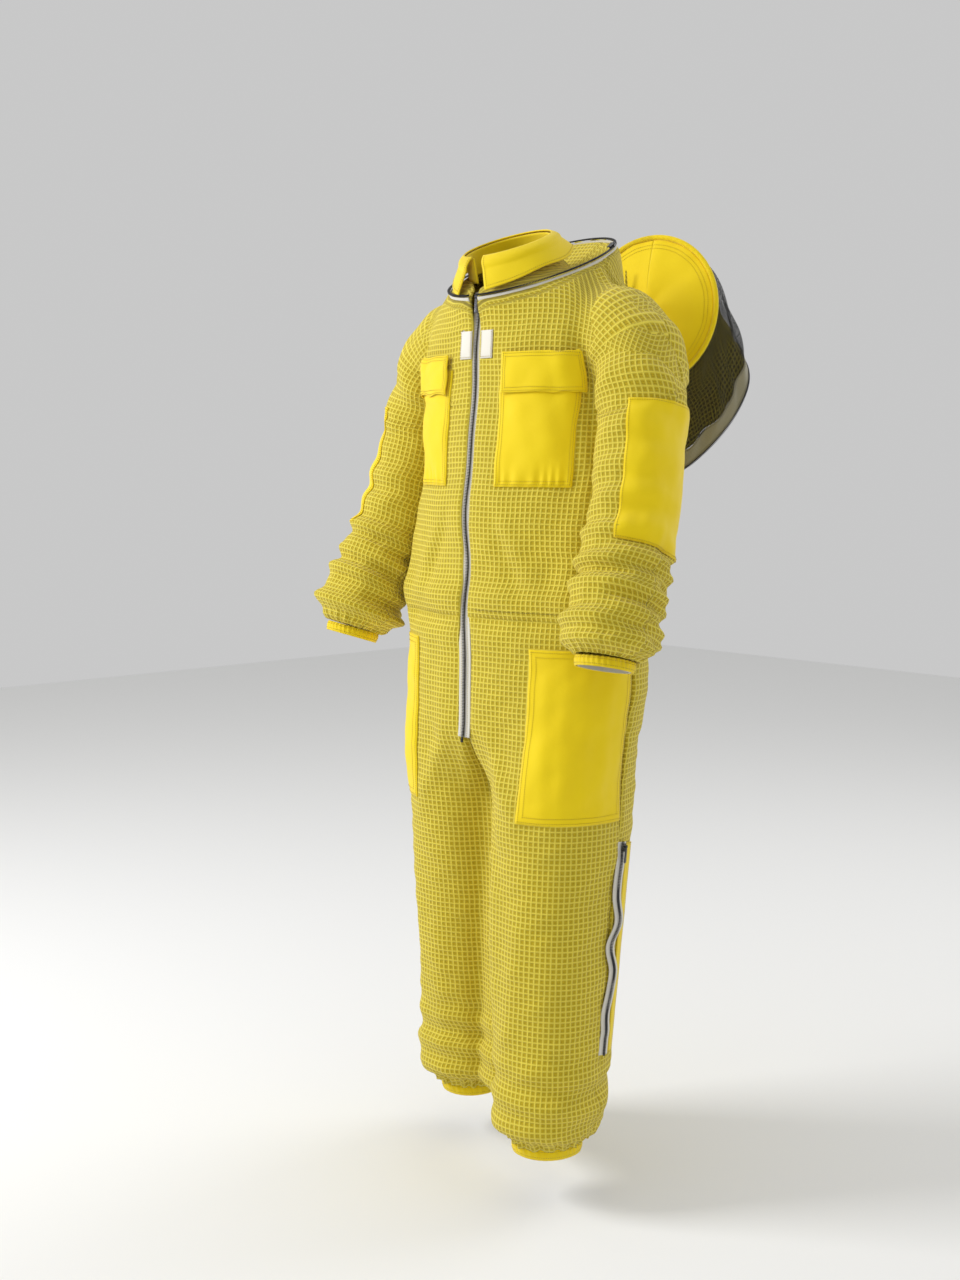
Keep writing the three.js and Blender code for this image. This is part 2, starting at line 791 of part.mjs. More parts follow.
function addHoodPanel() {
  const hinge = new THREE.Vector3(0, ringRadius + tapeThick / 2 + gap + pivotRadius, -pivotRadius);
  hinge.applyMatrix4(ringFrame);
  const roll = new THREE.CylinderGeometry(pivotRadius, pivotRadius, 2 * panelHalf * 0.6, 16);
  roll.rotateZ(Math.PI / 2).translate(...hinge);
  const low = rimPoint(0.5, hoodRadius, 0);
  const hangs = [
    [hinge.y, hinge.z],
    [hinge.y + 34, hinge.z - 52],
    [hinge.y + 62, hinge.z - 130],
    [low.y - 24, low.z + 34],
    [low.y - 3, low.z + 3],
  ];
  const under = hangs.map(([y, z]) => [y - panelThick, z - panelThick * 0.4]).reverse();
  const sheet = sideBlock([...hangs, ...under], -panelHalf * 0.6, panelHalf * 0.6);
  const crownSide = turned(
    [
      [0, -far],
      [hoodRadius * 2, -far],
      [hoodRadius * 2, hoopRadius + gap],
      [0, hoopRadius + gap],
    ],
    hoodFrame,
  );
  add("hood_panel", solidOf(roll).add(sheet).subtract(crownSide), meshFabric);
}

function addHood() {
  const rim = hoodRadius - 2 * hoopRadius - gap;
  const crown = [
    [0, hoodDome],
    [0, hoodDome - cotton],
    [rim * 0.5, hoodDome * 0.8 - cotton],
    [rim * 0.8, hoodDome * 0.4 - cotton],
    [rim, -cotton],
    [rim, 0],
    [rim * 0.8, hoodDome * 0.4],
    [rim * 0.5, hoodDome * 0.8],
  ];
  add("hood_crown", turned(crown, hoodFrame), plainCotton);
  const hoop = (clear) =>
    solidOf(new THREE.TorusGeometry(rim + hoopRadius + gap, hoopRadius + clear, 8, ringSteps), hoodFrame);
  add("hood_hoop", hoop(0), plainCotton);
  const veil = skin(veilGrid(0, hemShare, veilRings), 0, veilThick).subtract(hoop(gap));
  const near = sideBlock([[-far, -far], [far, -far], [far, far], [-far, far]], half, far);
  add("hood_veil", veil.intersect(near), blackNet);
  const away = sideBlock([[-far, -far], [far, -far], [far, far], [-far, far]], -far, -half);
  add("hood_back", veil.intersect(away), meshFabric);
  const hem = skin(veilGrid(hemShare + 0.004, 1, 1), -0.4, cotton + 0.4);
  add("hood_hem", hem, beigeHem);
  addHoodPanel();
}

addNeckZip();
addCollar();
addHood();
export default suit;
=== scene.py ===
import json
import math
import bmesh
import bpy
import numpy as np
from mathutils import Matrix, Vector
from mathutils.bvhtree import BVHTree

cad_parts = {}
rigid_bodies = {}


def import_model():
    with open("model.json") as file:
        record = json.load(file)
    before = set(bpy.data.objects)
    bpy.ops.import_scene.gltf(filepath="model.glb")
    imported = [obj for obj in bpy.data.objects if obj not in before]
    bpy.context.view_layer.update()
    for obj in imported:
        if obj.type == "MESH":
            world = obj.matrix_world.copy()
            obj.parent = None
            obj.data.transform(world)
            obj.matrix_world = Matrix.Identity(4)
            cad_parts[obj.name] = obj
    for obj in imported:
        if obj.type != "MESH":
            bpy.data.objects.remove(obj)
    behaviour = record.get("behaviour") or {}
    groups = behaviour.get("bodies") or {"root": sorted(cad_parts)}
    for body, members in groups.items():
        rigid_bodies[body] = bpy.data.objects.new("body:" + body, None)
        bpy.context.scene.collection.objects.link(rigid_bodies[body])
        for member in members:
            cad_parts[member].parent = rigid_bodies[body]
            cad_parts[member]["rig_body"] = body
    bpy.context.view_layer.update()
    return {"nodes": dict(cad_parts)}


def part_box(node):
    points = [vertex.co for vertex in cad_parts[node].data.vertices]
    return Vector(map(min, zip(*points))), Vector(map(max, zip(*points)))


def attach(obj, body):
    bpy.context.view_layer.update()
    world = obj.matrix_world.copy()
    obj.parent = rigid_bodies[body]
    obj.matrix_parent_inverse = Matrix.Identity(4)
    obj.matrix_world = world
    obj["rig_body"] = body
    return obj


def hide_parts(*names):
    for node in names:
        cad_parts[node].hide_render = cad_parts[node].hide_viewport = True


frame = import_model()
chance = np.random.default_rng(7)
sides = ("left", "right")
print("frame loaded")


def addObject(name, data):
    made = bpy.data.objects.new(name, data)
    bpy.context.scene.collection.objects.link(made)
    return made


def cornersOf(node):
    return np.array([vertex.co for vertex in frame["nodes"][node].data.vertices])


def unit(ways):
    return ways / np.linalg.norm(ways, axis=-1, keepdims=True)


def giveTo(piece, body, nodes):
    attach(piece, body)
    if nodes:
        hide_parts(*nodes)


# Camera, light and floor.
shot = {"place": (2.041, -1.971, -0.27), "turn": 46.0, "aimLeft": 1.74, "down": 6.3, "lens": 48.1}
camera = addObject("camera", bpy.data.cameras.new("camera"))
camera.location = shot["place"]
camera.rotation_euler = (math.radians(90 - shot["down"]), 0, math.radians(shot["turn"] + shot["aimLeft"]))
camera.data.lens = shot["lens"]
camera.data.sensor_width = 36
bpy.context.scene.camera = camera
bpy.context.scene.view_settings.view_transform = "Standard"


def addLight(name, place, size, power, aim=(0, 0, -0.6)):
    lamp = bpy.data.lights.new(name, "AREA")
    lamp.size = size
    lamp.energy = power
    light = addObject(name, lamp)
    light.location = place
    light.rotation_euler = (Vector(aim) - Vector(place)).to_track_quat("-Z", "Y").to_euler()


addLight("keyLight", (-2.2, -2.6, 1.4), 1.5, 112)
addLight("fillLight", (3.2, -1.2, 0.8), 2.4, 8)
addLight("backLight", (0.6, 2.8, 1.6), 2.0, 30)
world = bpy.data.worlds.new("studio")
world.use_nodes = True
world.node_tree.nodes["Background"].inputs["Color"].default_value = (1, 1, 1, 1)
world.node_tree.nodes["Background"].inputs["Strength"].default_value = 0.58
bpy.context.scene.world = world


# Materials.
def newGroup(name, inputs, outputs):
    tree = bpy.data.node_groups.new(name, "ShaderNodeTree")
    for socket, kind, value in inputs:
        made = tree.interface.new_socket(socket, in_out="INPUT", socket_type="NodeSocket" + kind)
        if value is not None:
            made.default_value = value
    for socket, kind in outputs:
        tree.interface.new_socket(socket, in_out="OUTPUT", socket_type="NodeSocket" + kind)
    return tree, tree.nodes.new("NodeGroupInput"), tree.nodes.new("NodeGroupOutput")


def mathNode(tree, operation, *values, clamp=False):
    node = tree.nodes.new("ShaderNodeMath")
    node.operation = operation
    node.use_clamp = clamp
    for socket, value in zip(node.inputs, values):
        if isinstance(value, (int, float)):
            socket.default_value = value
        else:
            tree.links.new(value, socket)
    return node.outputs[0]


# A square net: strands both ways at a pitch, and open squares between them.
def makeNetGroup():
    inputs = [("Vector", "Vector", None), ("Pitch", "Float", 0.008), ("Strand", "Float", 0.3)]
    tree, source, sink = newGroup("squareNet", inputs, [("Strands", "Float"), ("Height", "Float")])
    parts = tree.nodes.new("ShaderNodeSeparateXYZ")
    tree.links.new(source.outputs["Vector"], parts.inputs[0])
    heights = []
    for axis in ("X", "Y"):
        cell = mathNode(tree, "DIVIDE", parts.outputs[axis], source.outputs["Pitch"])
        wave = mathNode(tree, "PINGPONG", cell, 0.5)  # 0 on a strand's middle, 0.5 in a hole's
        share = mathNode(tree, "DIVIDE", wave, source.outputs["Strand"])
        heights.append(mathNode(tree, "SUBTRACT", 1.35, share, clamp=True))
    top = mathNode(tree, "SMOOTH_MAX", heights[0], heights[1], 0.25)
    tree.links.new(mathNode(tree, "POWER", top, 1.4, clamp=True), sink.inputs["Strands"])
    tree.links.new(top, sink.inputs["Height"])
    return tree


# Small over-and-under threads, and a slow drift in colour.
def makeThreadGroup():
    inputs = [("Vector", "Vector", None), ("Pitch", "Float", 0.0009)]
    tree, source, sink = newGroup("fineThreads", inputs, [("Threads", "Float"), ("Drift", "Float")])
    parts = tree.nodes.new("ShaderNodeSeparateXYZ")
    tree.links.new(source.outputs["Vector"], parts.inputs[0])
    turns = []
    for axis in ("X", "Y"):
        cell = mathNode(tree, "DIVIDE", parts.outputs[axis], source.outputs["Pitch"])
        turns.append(mathNode(tree, "SINE", mathNode(tree, "MULTIPLY", cell, math.pi)))
    both = mathNode(tree, "MULTIPLY", turns[0], turns[1])
    tree.links.new(mathNode(tree, "MULTIPLY_ADD", both, 0.5, 0.5), sink.inputs["Threads"])
    cloud = tree.nodes.new("ShaderNodeTexNoise")
    cloud.inputs["Scale"].default_value = 14
    cloud.inputs["Detail"].default_value = 4
    tree.links.new(source.outputs["Vector"], cloud.inputs["Vector"])
    tree.links.new(cloud.outputs[0], sink.inputs["Drift"])
    return tree


netGroup = makeNetGroup()
threadGroup = makeThreadGroup()


def blendColours(tree, factor, first, second, kind="MIX"):
    node = tree.nodes.new("ShaderNodeMix")
    node.data_type = "RGBA"
    node.blend_type = kind
    for socket, value in ((node.inputs[0], factor), (node.inputs[6], first), (node.inputs[7], second)):
        if isinstance(value, (int, float)):
            socket.default_value = value
        elif isinstance(value, tuple):
            socket.default_value = (*value, 1)
        else:
            tree.links.new(value, socket)
    return node.outputs[2]


def newMaterial(name, roughness, metallic=0.0, sheen=0.0):
    material = bpy.data.materials.new(name)
    material.use_nodes = True
    tree = material.node_tree
    shader = tree.nodes["Principled BSDF"]
    shader.inputs["Roughness"].default_value = roughness
    shader.inputs["Metallic"].default_value = metallic
    shader.inputs["Sheen Weight"].default_value = sheen
    shader.inputs["Specular IOR Level"].default_value = 0.25
    return material, tree, shader


def placeGroup(tree, group, **values):
    node = tree.nodes.new("ShaderNodeGroup")
    node.node_tree = group
    for name, value in values.items():
        if isinstance(value, (int, float)):
            node.inputs[name].default_value = value
        else:
            tree.links.new(value, node.inputs[name])
    return node


def addBump(tree, shader, height, distance, strength=1.0):
    bump = tree.nodes.new("ShaderNodeBump")
    bump.inputs["Distance"].default_value = distance
    bump.inputs["Strength"].default_value = strength
    tree.links.new(height, bump.inputs["Height"])
    tree.links.new(bump.outputs[0], shader.inputs["Normal"])


# Three layers: bright square net on top, and painted shade in the holes: a shaded middle and a darker ground
# below it.
def makeMeshFabric(name, strand, hole, pitch=0.0086):
    material, tree, shader = newMaterial(name, 0.82, sheen=0.15)
    uv = tree.nodes.new("ShaderNodeUVMap").outputs[0]
    net = placeGroup(tree, netGroup, Vector=uv, Pitch=pitch, Strand=0.2)
    lining = placeGroup(tree, netGroup, Vector=uv, Pitch=pitch / 4, Strand=0.24)
    threads = placeGroup(tree, threadGroup, Vector=uv, Pitch=0.0011)
    # painted shade: the hole colour, darkened further for the ground deep in the holes
    dim = tuple(channel * 0.62 for channel in hole)
    ground = blendColours(tree, lining.outputs["Strands"], dim, hole)
    worn = blendColours(tree, threads.outputs["Drift"], tuple(c * 0.86 for c in strand), strand)
    shade = mathNode(tree, "MULTIPLY_ADD", threads.outputs["Threads"], 0.14, 0.86)
    top = blendColours(tree, 1.0, worn, shade, "MULTIPLY")
    colour = blendColours(tree, net.outputs["Strands"], ground, top)
    tree.links.new(colour, shader.inputs["Base Color"])
    low = mathNode(tree, "MULTIPLY", lining.outputs["Height"], 0.18)
    fine = mathNode(tree, "MULTIPLY_ADD", threads.outputs["Threads"], 0.1, low)
    addBump(tree, shader, mathNode(tree, "ADD", net.outputs["Height"], fine), 0.0016)
    return material


# Plain woven cotton with slubs and soft pressed creases.
def makeCotton(name, colour, shade, threadPitch=0.0009, creases=0.5):
    material, tree, shader = newMaterial(name, 0.72, sheen=0.2)
    uv = tree.nodes.new("ShaderNodeUVMap").outputs[0]
    threads = placeGroup(tree, threadGroup, Vector=uv, Pitch=threadPitch)
    slubs = tree.nodes.new("ShaderNodeTexNoise")
    slubs.inputs["Scale"].default_value = 60
    slubs.inputs["Detail"].default_value = 6
    tree.links.new(uv, slubs.inputs["Vector"])
    mixed = blendColours(tree, threads.outputs["Drift"], shade, colour)
    light = mathNode(tree, "MULTIPLY_ADD", threads.outputs["Threads"], 0.1, 0.9)
    tree.links.new(blendColours(tree, 1.0, mixed, light, "MULTIPLY"), shader.inputs["Base Color"])
    slow = mathNode(tree, "MULTIPLY", threads.outputs["Drift"], 6 * creases)
    rough = mathNode(tree, "MULTIPLY_ADD", slubs.outputs[0], 0.6, slow)
    addBump(tree, shader, mathNode(tree, "MULTIPLY_ADD", threads.outputs["Threads"], 0.35, rough), 0.0007)
    return material


def makeNet(name, colour):
    material, tree, shader = newMaterial(name, 0.6)
    uv = tree.nodes.new("ShaderNodeUVMap").outputs[0]
    net = placeGroup(tree, netGroup, Vector=uv, Pitch=0.0026, Strand=0.2)
    threads = placeGroup(tree, threadGroup, Vector=uv, Pitch=0.0007)
    bright = tuple(channel * 2.2 for channel in colour)
    tree.links.new(blendColours(tree, threads.outputs["Drift"], colour, bright), shader.inputs["Base Color"])
    tree.links.new(mathNode(tree, "GREATER_THAN", net.outputs["Strands"], 0.3), shader.inputs["Alpha"])
    addBump(tree, shader, net.outputs["Height"], 0.0004)
    return material


# Hard pieces: a slight mottle, and paler where the finish has rubbed.
def makeHard(name, colour, worn, roughness, metallic):
    material, tree, shader = newMaterial(name, roughness, metallic)
    place = tree.nodes.new("ShaderNodeTexCoord").outputs["Object"]
    mottle = tree.nodes.new("ShaderNodeTexNoise")
    mottle.inputs["Scale"].default_value = 350
    mottle.inputs["Detail"].default_value = 5
    tree.links.new(place, mottle.inputs["Vector"])
    rubbed = mathNode(tree, "MULTIPLY_ADD", mottle.outputs[0], 4, -2.1, clamp=True)
    tree.links.new(blendColours(tree, rubbed, colour, worn), shader.inputs["Base Color"])
    tree.links.new(
        mathNode(tree, "MULTIPLY_ADD", mottle.outputs[0], 0.3, roughness - 0.15), shader.inputs["Roughness"]
    )
    addBump(tree, shader, mottle.outputs[0], 0.00015)
    return material


brightCotton = (1.0, 0.76, 0.0)
materials = {
    # painted shade: each mesh's second colour is the shade down in its holes
    "mesh_fabric": makeMeshFabric("ventilatedMesh", (0.96, 0.80, 0.085), (0.60, 0.44, 0.01)),
    "cotton": makeCotton("plainCotton", brightCotton, (0.92, 0.67, 0.0)),
    "zip_tape": makeCotton("zipTape", (0.78, 0.76, 0.68), (0.66, 0.63, 0.54), 0.0016),
    "hook_loop": makeCotton("loopPile", (0.88, 0.86, 0.78), (0.78, 0.74, 0.64), 0.0022),
    "elastic": makeCotton("ribbedElastic", (0.74, 0.71, 0.62), (0.6, 0.57, 0.48), 0.003),
    # painted shade: the hem band is white cotton, coloured the darker beige it shows in shade
    "hem_cloth": makeCotton("hemBand", (0.34, 0.31, 0.2), (0.26, 0.235, 0.15), 0.0022),
    "veil_net": makeNet("veilNet", (0.006, 0.006, 0.006)),
    "teeth": makeHard("zipTeeth", (0.02, 0.02, 0.024), (0.1, 0.1, 0.11), 0.42, 0.0),
    "zip_metal": makeHard("platedMetal", (0.045, 0.045, 0.05), (0.3, 0.3, 0.31), 0.34, 0.9),
}
seamThread = makeCotton("seamThread", (0.62, 0.43, 0.0), (0.5, 0.33, 0.0), 0.0005)
darkThread = makeCotton("darkThread", (0.05, 0.04, 0.02), (0.03, 0.025, 0.015), 0.0005)
# painted shade: the hood mesh's holes are coloured darker than those of the suit's mesh
hoodFabric = makeMeshFabric("hoodMesh", (0.9, 0.76, 0.12), (0.3, 0.24, 0.03), 0.0075)
floorMaterial, _, floorShader = newMaterial("paleFloor", 0.9)
floorShader.inputs["Base Color"].default_value = (0.86, 0.86, 0.85, 1)
print("materials made")


# Tools for cloth laid out as rows and columns of points.
thickness = {"mesh": 0.0035, "yoke": 0.003, "patch": 0.0012, "tape": 0.0012, "ring": 0.0014, "cuff": 0.0016,
             "stand": 0.002, "fall": 0.0022, "crown": 0.0018, "hoodMesh": 0.0016, "hem": 0.002}
samePlace = 0.00002


def treeOf(*names):
    points, faces = [], []
    for name in names:
        mesh = frame["nodes"][name].data
        start = len(points)
        points += [vertex.co.copy() for vertex in mesh.vertices]
        faces += [[start + index for index in face.vertices] for face in mesh.polygons]
    return BVHTree.FromPolygons(points, faces)


def reachOut(tree, origin, way, far=0.7):
    hit = tree.ray_cast(origin + way * far, -way, far)[0]
    return float("nan") if hit is None else (hit - origin).length


def fillGaps(reach):
    for line in reach:
        good = np.flatnonzero(~np.isnan(line))
        if len(good):
            line[:] = np.interp(np.arange(len(line)), good, line[good], period=len(line))
    return reach


def blur(values, times, axis, wrap=False):
    edge = "wrap" if wrap else "edge"
    for _ in range(times):
        pad = [(0, 0)] * values.ndim
        pad[axis] = (1, 1)
        wide = np.pad(values, pad, mode=edge)
        near = [slice(None)] * values.ndim
        far = list(near)
        near[axis] = slice(0, -2)
        far[axis] = slice(2, None)
        values = 0.5 * values + 0.25 * (wide[tuple(near)] + wide[tuple(far)])
    return values


def normalsOf(grid, wrap=False):
    if wrap:
        across = np.roll(grid, -1, 1) - np.roll(grid, 1, 1)
    else:
        across = np.gradient(grid, axis=1)
    normal = np.cross(across, np.gradient(grid, axis=0))
    return normal / np.maximum(np.linalg.norm(normal, axis=2, keepdims=True), 1e-9)


def lengthsAlong(grid, axis):
    step = np.linalg.norm(np.diff(grid, axis=axis), axis=2)
    pad = [(0, 0), (0, 0)]
    pad[axis] = (1, 0)
    return np.cumsum(np.pad(step, pad), axis=axis)


# A soft random field: a few long waves in seeded directions.
def softNoise(across, along, size, count=7):
    total = np.zeros(np.broadcast(across, along).shape)
    for _ in range(count):
        turn, shift, grow = chance.uniform(0, math.tau), chance.uniform(0, math.tau), chance.uniform(0.6, 1.6)
        wave = 2 * math.pi * grow / size
        total += np.sin(wave * (math.cos(turn) * across + math.sin(turn) * along) + shift)
    return total / count


def ridge(grid, start, end, width, height):
    start, end = np.array(start), np.array(end)
    way = end - start
    share = np.clip(((grid - start) @ way) / (way @ way), 0, 1)
    away = np.linalg.norm(grid - (start + share[..., None] * way), axis=2)
    return height * np.exp(-((away / width) ** 2)) * np.sin(np.pi * np.clip(share, 0.04, 0.96))


def sample(grid, rows, columns, wrap=False):
    rows = np.clip(rows, 0, grid.shape[0] - 1.0001)
    count = grid.shape[1]
    columns = np.mod(columns, count) if wrap else np.clip(columns, 0, count - 1.0001)
    r0, c0 = np.floor(rows).astype(int), np.floor(columns).astype(int)
    r1, c1 = r0 + 1, (c0 + 1) % count
    fr, fc = (rows - r0)[..., None], (columns - c0)[..., None]
    low = grid[r0, c0 % count] * (1 - fc) + grid[r0, c1] * fc
    high = grid[r1, c0 % count] * (1 - fc) + grid[r1, c1] * fc
    return low * (1 - fr) + high * fr


# One sheet of cloth from rows and columns of points, with its wall on the inner side.
def clothPiece(name, node, grid, thick, facing, slotName="mesh_fabric", body="suit", held="hung", uv=None,
               wrap=False, material=None, weld=False):
    uv = mapOf(grid) if uv is None else uv
    rows, columns = grid.shape[:2]
    mesh = bpy.data.meshes.new(name)
    span = columns if wrap else columns - 1
    index = np.arange(rows * columns).reshape(rows, columns)
    first, second = index[:-1, :span], np.roll(index, -1, 1)[:-1, :span]
    third, fourth = np.roll(index, -1, 1)[1:, :span], index[1:, :span]
    order = [first, second, third, fourth] if facing else [first, fourth, third, second]
    faces = np.stack(order, -1).reshape(-1, 4)
    mesh.from_pydata(grid.reshape(-1, 3).tolist(), [], faces.tolist())
    layer = mesh.uv_layers.new(name="clothMap")
    flat = uv.reshape(-1, 2)[faces.reshape(-1)].copy()
    if wrap:  # the last column meets the first without running the pattern backwards
        quads = flat.reshape(-1, 4, 2)
        girth = uv[:, -1, 0].max() + np.linalg.norm(grid[0, 0] - grid[0, -1])
        short = quads[..., 0] < quads[..., 0].max(axis=1, keepdims=True) - girth / 2
        quads[..., 0] += short * girth
    layer.data.foreach_set("uv", flat.reshape(-1))
    if weld:  # columns that stop at an edge are drawn into it
        shell = bmesh.new()
        shell.from_mesh(mesh)
        bmesh.ops.remove_doubles(shell, verts=shell.verts, dist=samePlace)
        shell.to_mesh(mesh)
        shell.free()
    mesh.polygons.foreach_set("use_smooth", [True] * len(mesh.polygons))
    piece = addObject(name, mesh)
    mesh.materials.append(material or materials[slotName])
    if thick:
        wall = piece.modifiers.new("thickness", "SOLIDIFY")
        wall.thickness = thick
        wall.offset = -1
    giveTo(piece, body, [node])
    if held:
        declareSheet(grid)


def mapOf(grid):
    return np.stack([lengthsAlong(grid, 1), lengthsAlong(grid, 0)], -1)


# A panel's map in metres: across from its own straight-grain column, along from its first row.
def grainMap(grid, grainColumn, even=False):
    across = lengthsAlong(grid, 1)
    along = blur(lengthsAlong(grid, 0), 40, 1)
    if even:
        along = np.median(along, 1, keepdims=True) * np.ones((1, grid.shape[1]))
    return np.stack([across - across[:, grainColumn:][:, :1], along], -1)


# The flat size is measured back from the shaped grid.
flatLimits = {"leastSide": 0.01, "leastShare": 0.31, "longestStep": 4}


def declareSheet(grid):
    width = float(lengthsAlong(grid, 1)[:, -1].max())
    steps = np.linalg.norm(np.diff(grid, axis=0), axis=2)
    # A very long step is the turn at the crotch, not length.
    steps = np.minimum(steps, flatLimits["longestStep"] * np.median(steps))
    length = max(float(steps.sum(0).max()), flatLimits["leastSide"])
    a, b = np.diff(grid[:, :-1], axis=0), np.diff(grid[:-1], axis=1)
    area = float(np.linalg.norm(np.cross(a, b), axis=2).sum())
    area = min(max(area, flatLimits["leastShare"] * width * length), width * length)


# Lines of teeth and stitches.
def makeRunTree():
    tree = bpy.data.node_groups.new("runOfPieces", "GeometryNodeTree")
    inputs = [("Geometry", "Geometry", None), ("Pitch", "Float", 0.003), ("Size", "Vector", (1, 1, 1))]
    inputs += [("Lift", "Float", 0.0), ("Rounded", "Bool", True), ("Material", "Material", None)]
    for name, kind, value in inputs:
        socket = tree.interface.new_socket(name, in_out="INPUT", socket_type="NodeSocket" + kind)
        if value is not None:
            socket.default_value = value
    tree.interface.new_socket("Geometry", in_out="OUTPUT", socket_type="NodeSocketGeometry")

    def add(kind, **settings):
        node = tree.nodes.new(kind)
        for name, value in settings.items():
            setattr(node, name, value)
        return node

    source, sink = add("NodeGroupInput"), add("NodeGroupOutput")
    line = add("GeometryNodeMeshToCurve")
    resample = add("GeometryNodeResampleCurve", mode="LENGTH")
    tangent = add("GeometryNodeInputTangent")
    outward = add("GeometryNodeInputNamedAttribute", data_type="FLOAT_VECTOR")
    outward.inputs["Name"].default_value = "outward"
    alongWay = add("FunctionNodeAlignRotationToVector", axis="Y")
    facing = add("FunctionNodeAlignRotationToVector", axis="Z", pivot_axis="Y")
    ball = add("GeometryNodeMeshUVSphere")
    for key, value in (("Segments", 6), ("Rings", 4), ("Radius", 0.5)):
        ball.inputs[key].default_value = value
    block = add("GeometryNodeMeshCube")
    choose = add("GeometryNodeSwitch", input_type="GEOMETRY")
    shape = add("GeometryNodeTransform")
    place = add("GeometryNodeInstanceOnPoints")
    raised = add("ShaderNodeVectorMath", operation="SCALE")
    move = add("GeometryNodeSetPosition")
    real = add("GeometryNodeRealizeInstances")
    paint = add("GeometryNodeSetMaterial")
    pairs = [
        (source.outputs["Geometry"], line.inputs[0]),
        (line.outputs[0], resample.inputs["Curve"]),
        (source.outputs["Pitch"], resample.inputs["Length"]),
        (resample.outputs[0], move.inputs["Geometry"]),
        (outward.outputs[0], raised.inputs[0]),
        (source.outputs["Lift"], raised.inputs["Scale"]),
        (raised.outputs[0], move.inputs["Offset"]),
        (move.outputs[0], place.inputs["Points"]),
        (tangent.outputs[0], alongWay.inputs["Vector"]),
        (alongWay.outputs[0], facing.inputs["Rotation"]),
        (outward.outputs[0], facing.inputs["Vector"]),
        (facing.outputs[0], place.inputs["Rotation"]),
        (source.outputs["Rounded"], choose.inputs["Switch"]),
        (block.outputs["Mesh"], choose.inputs["False"]),
        (ball.outputs["Mesh"], choose.inputs["True"]),
        (choose.outputs[0], shape.inputs["Geometry"]),
        (source.outputs["Size"], shape.inputs["Scale"]),
        (shape.outputs[0], place.inputs["Instance"]),
        (place.outputs[0], real.inputs[0]),
        (real.outputs[0], paint.inputs["Geometry"]),
        (source.outputs["Material"], paint.inputs["Material"]),
        (paint.outputs[0], sink.inputs[0]),
    ]
    for out, into in pairs:
        tree.links.new(out, into)
    return tree


runTree = makeRunTree()


# lines is a list of (points, outward directions); each becomes one run of small pieces.
def runPiece(name, lines, values, material, body, nodes=()):
    points, edges, ways = [], [], []
    for line, outward in lines:
        start = len(points)
        points += [tuple(point) for point in line]
        ways += [tuple(way) for way in outward]
        edges += [(start + i, start + i + 1) for i in range(len(line) - 1)]
    mesh = bpy.data.meshes.new(name)
    mesh.from_pydata(points, edges, [])
    attribute = mesh.attributes.new("outward", "FLOAT_VECTOR", "POINT")
    attribute.data.foreach_set("vector", np.array(ways, float).reshape(-1))
    guide = addObject(name + "Guide", mesh)
    modifier = guide.modifiers.new("run", "NODES")
    modifier.node_group = runTree
    named = {item.name: item.identifier for item in runTree.interface.items_tree if item.in_out == "INPUT"}
    for key, value in {**values, "Material": material}.items():
        modifier[named[key]] = value
    bpy.context.view_layer.update()
    graph = bpy.context.evaluated_depsgraph_get()
    made = bpy.data.meshes.new_from_object(guide.evaluated_get(graph), depsgraph=graph)
    bpy.data.objects.remove(guide)
    if not made.materials:
        made.materials.append(material)
    if not made.uv_layers:
        made.uv_layers.new(name="clothMap")
    made.name = name
    giveTo(addObject(name, made), body, nodes)


stitch = {"Pitch": 0.0036, "Size": (0.0008, 0.0026, 0.0007), "Lift": 0.0003, "Rounded": True}
tooth = {"Pitch": 0.0024, "Size": (0.0042, 0.0015, 0.0022), "Lift": 0.0, "Rounded": False}
stitchLines = []


# The front closure: a nearly straight line with a slow wave, still at both ends.
closure = {"wave": 0.0055, "swell": 0.010, "edge": 0.0092, "tape": 0.0135, "split": 0.0012, "stitch": 0.0075,
           "ease": 0.0018}
frontLow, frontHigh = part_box("front_teeth")


def closureWave(z):
    share = np.clip((z - frontLow.z) / (frontHigh.z - frontLow.z), 0, 1)
    still = np.sin(np.pi * share) ** 0.6
    bend = np.sin(share * 19.0 + 0.6) * 0.6 + np.sin(share * 31.0 + 2.0) * 0.4
    return closure["wave"] * still * bend


def closureSwell(z):
    share = np.clip((z - frontLow.z) / (frontHigh.z - frontLow.z), 0, 1)
    return closure["swell"] * np.sin(np.pi * share) ** 2


# Torso.
torso = {"columns": 272, "step": 0.0045, "axisY": 0.010, "turnZ": -0.08, "topRows": 44, "round": (0.22, 0.13)}
torsoNodes = ("front_panel_left", "front_panel_right", "back_panel", "front_tape_left", "front_tape_right")
sleeveNodes = {side: (f"sleeve_front_{side}", f"sleeve_back_{side}") for side in sides}
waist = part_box("front_panel_left")[0].z


def torsoWays():
    turns = np.arange(torso["columns"]) / torso["columns"] * math.tau
    wide, deep = torso["round"]
    return [Vector((wide * math.sin(t), -deep * math.cos(t), 0)).normalized() for t in turns]


def ringPoints():
    teeth = cornersOf("neck_teeth")
    centre = (teeth.min(0) + teeth.max(0)) / 2
    centre[0] = 0
    back, front = teeth[teeth[:, 1].argmax()], teeth[teeth[:, 1].argmin()]
    slope = math.atan2(back[2] - front[2], back[1] - front[1])
    radius = float(np.hypot(teeth[:, 0], (teeth[:, 1] - centre[1]) / math.cos(slope)).mean())
    return centre, slope, radius


ringCentre, ringSlope, ringRadius = ringPoints()


def ringPoint(turn, radius, lift):
    side, fore = radius * np.sin(turn), -radius * np.cos(turn)
    up = np.full_like(side, lift)
    y = ringCentre[1] + fore * math.cos(ringSlope) - up * math.sin(ringSlope)
    z = ringCentre[2] + fore * math.sin(ringSlope) + up * math.cos(ringSlope)
    return np.stack([ringCentre[0] + side, y, z], -1)


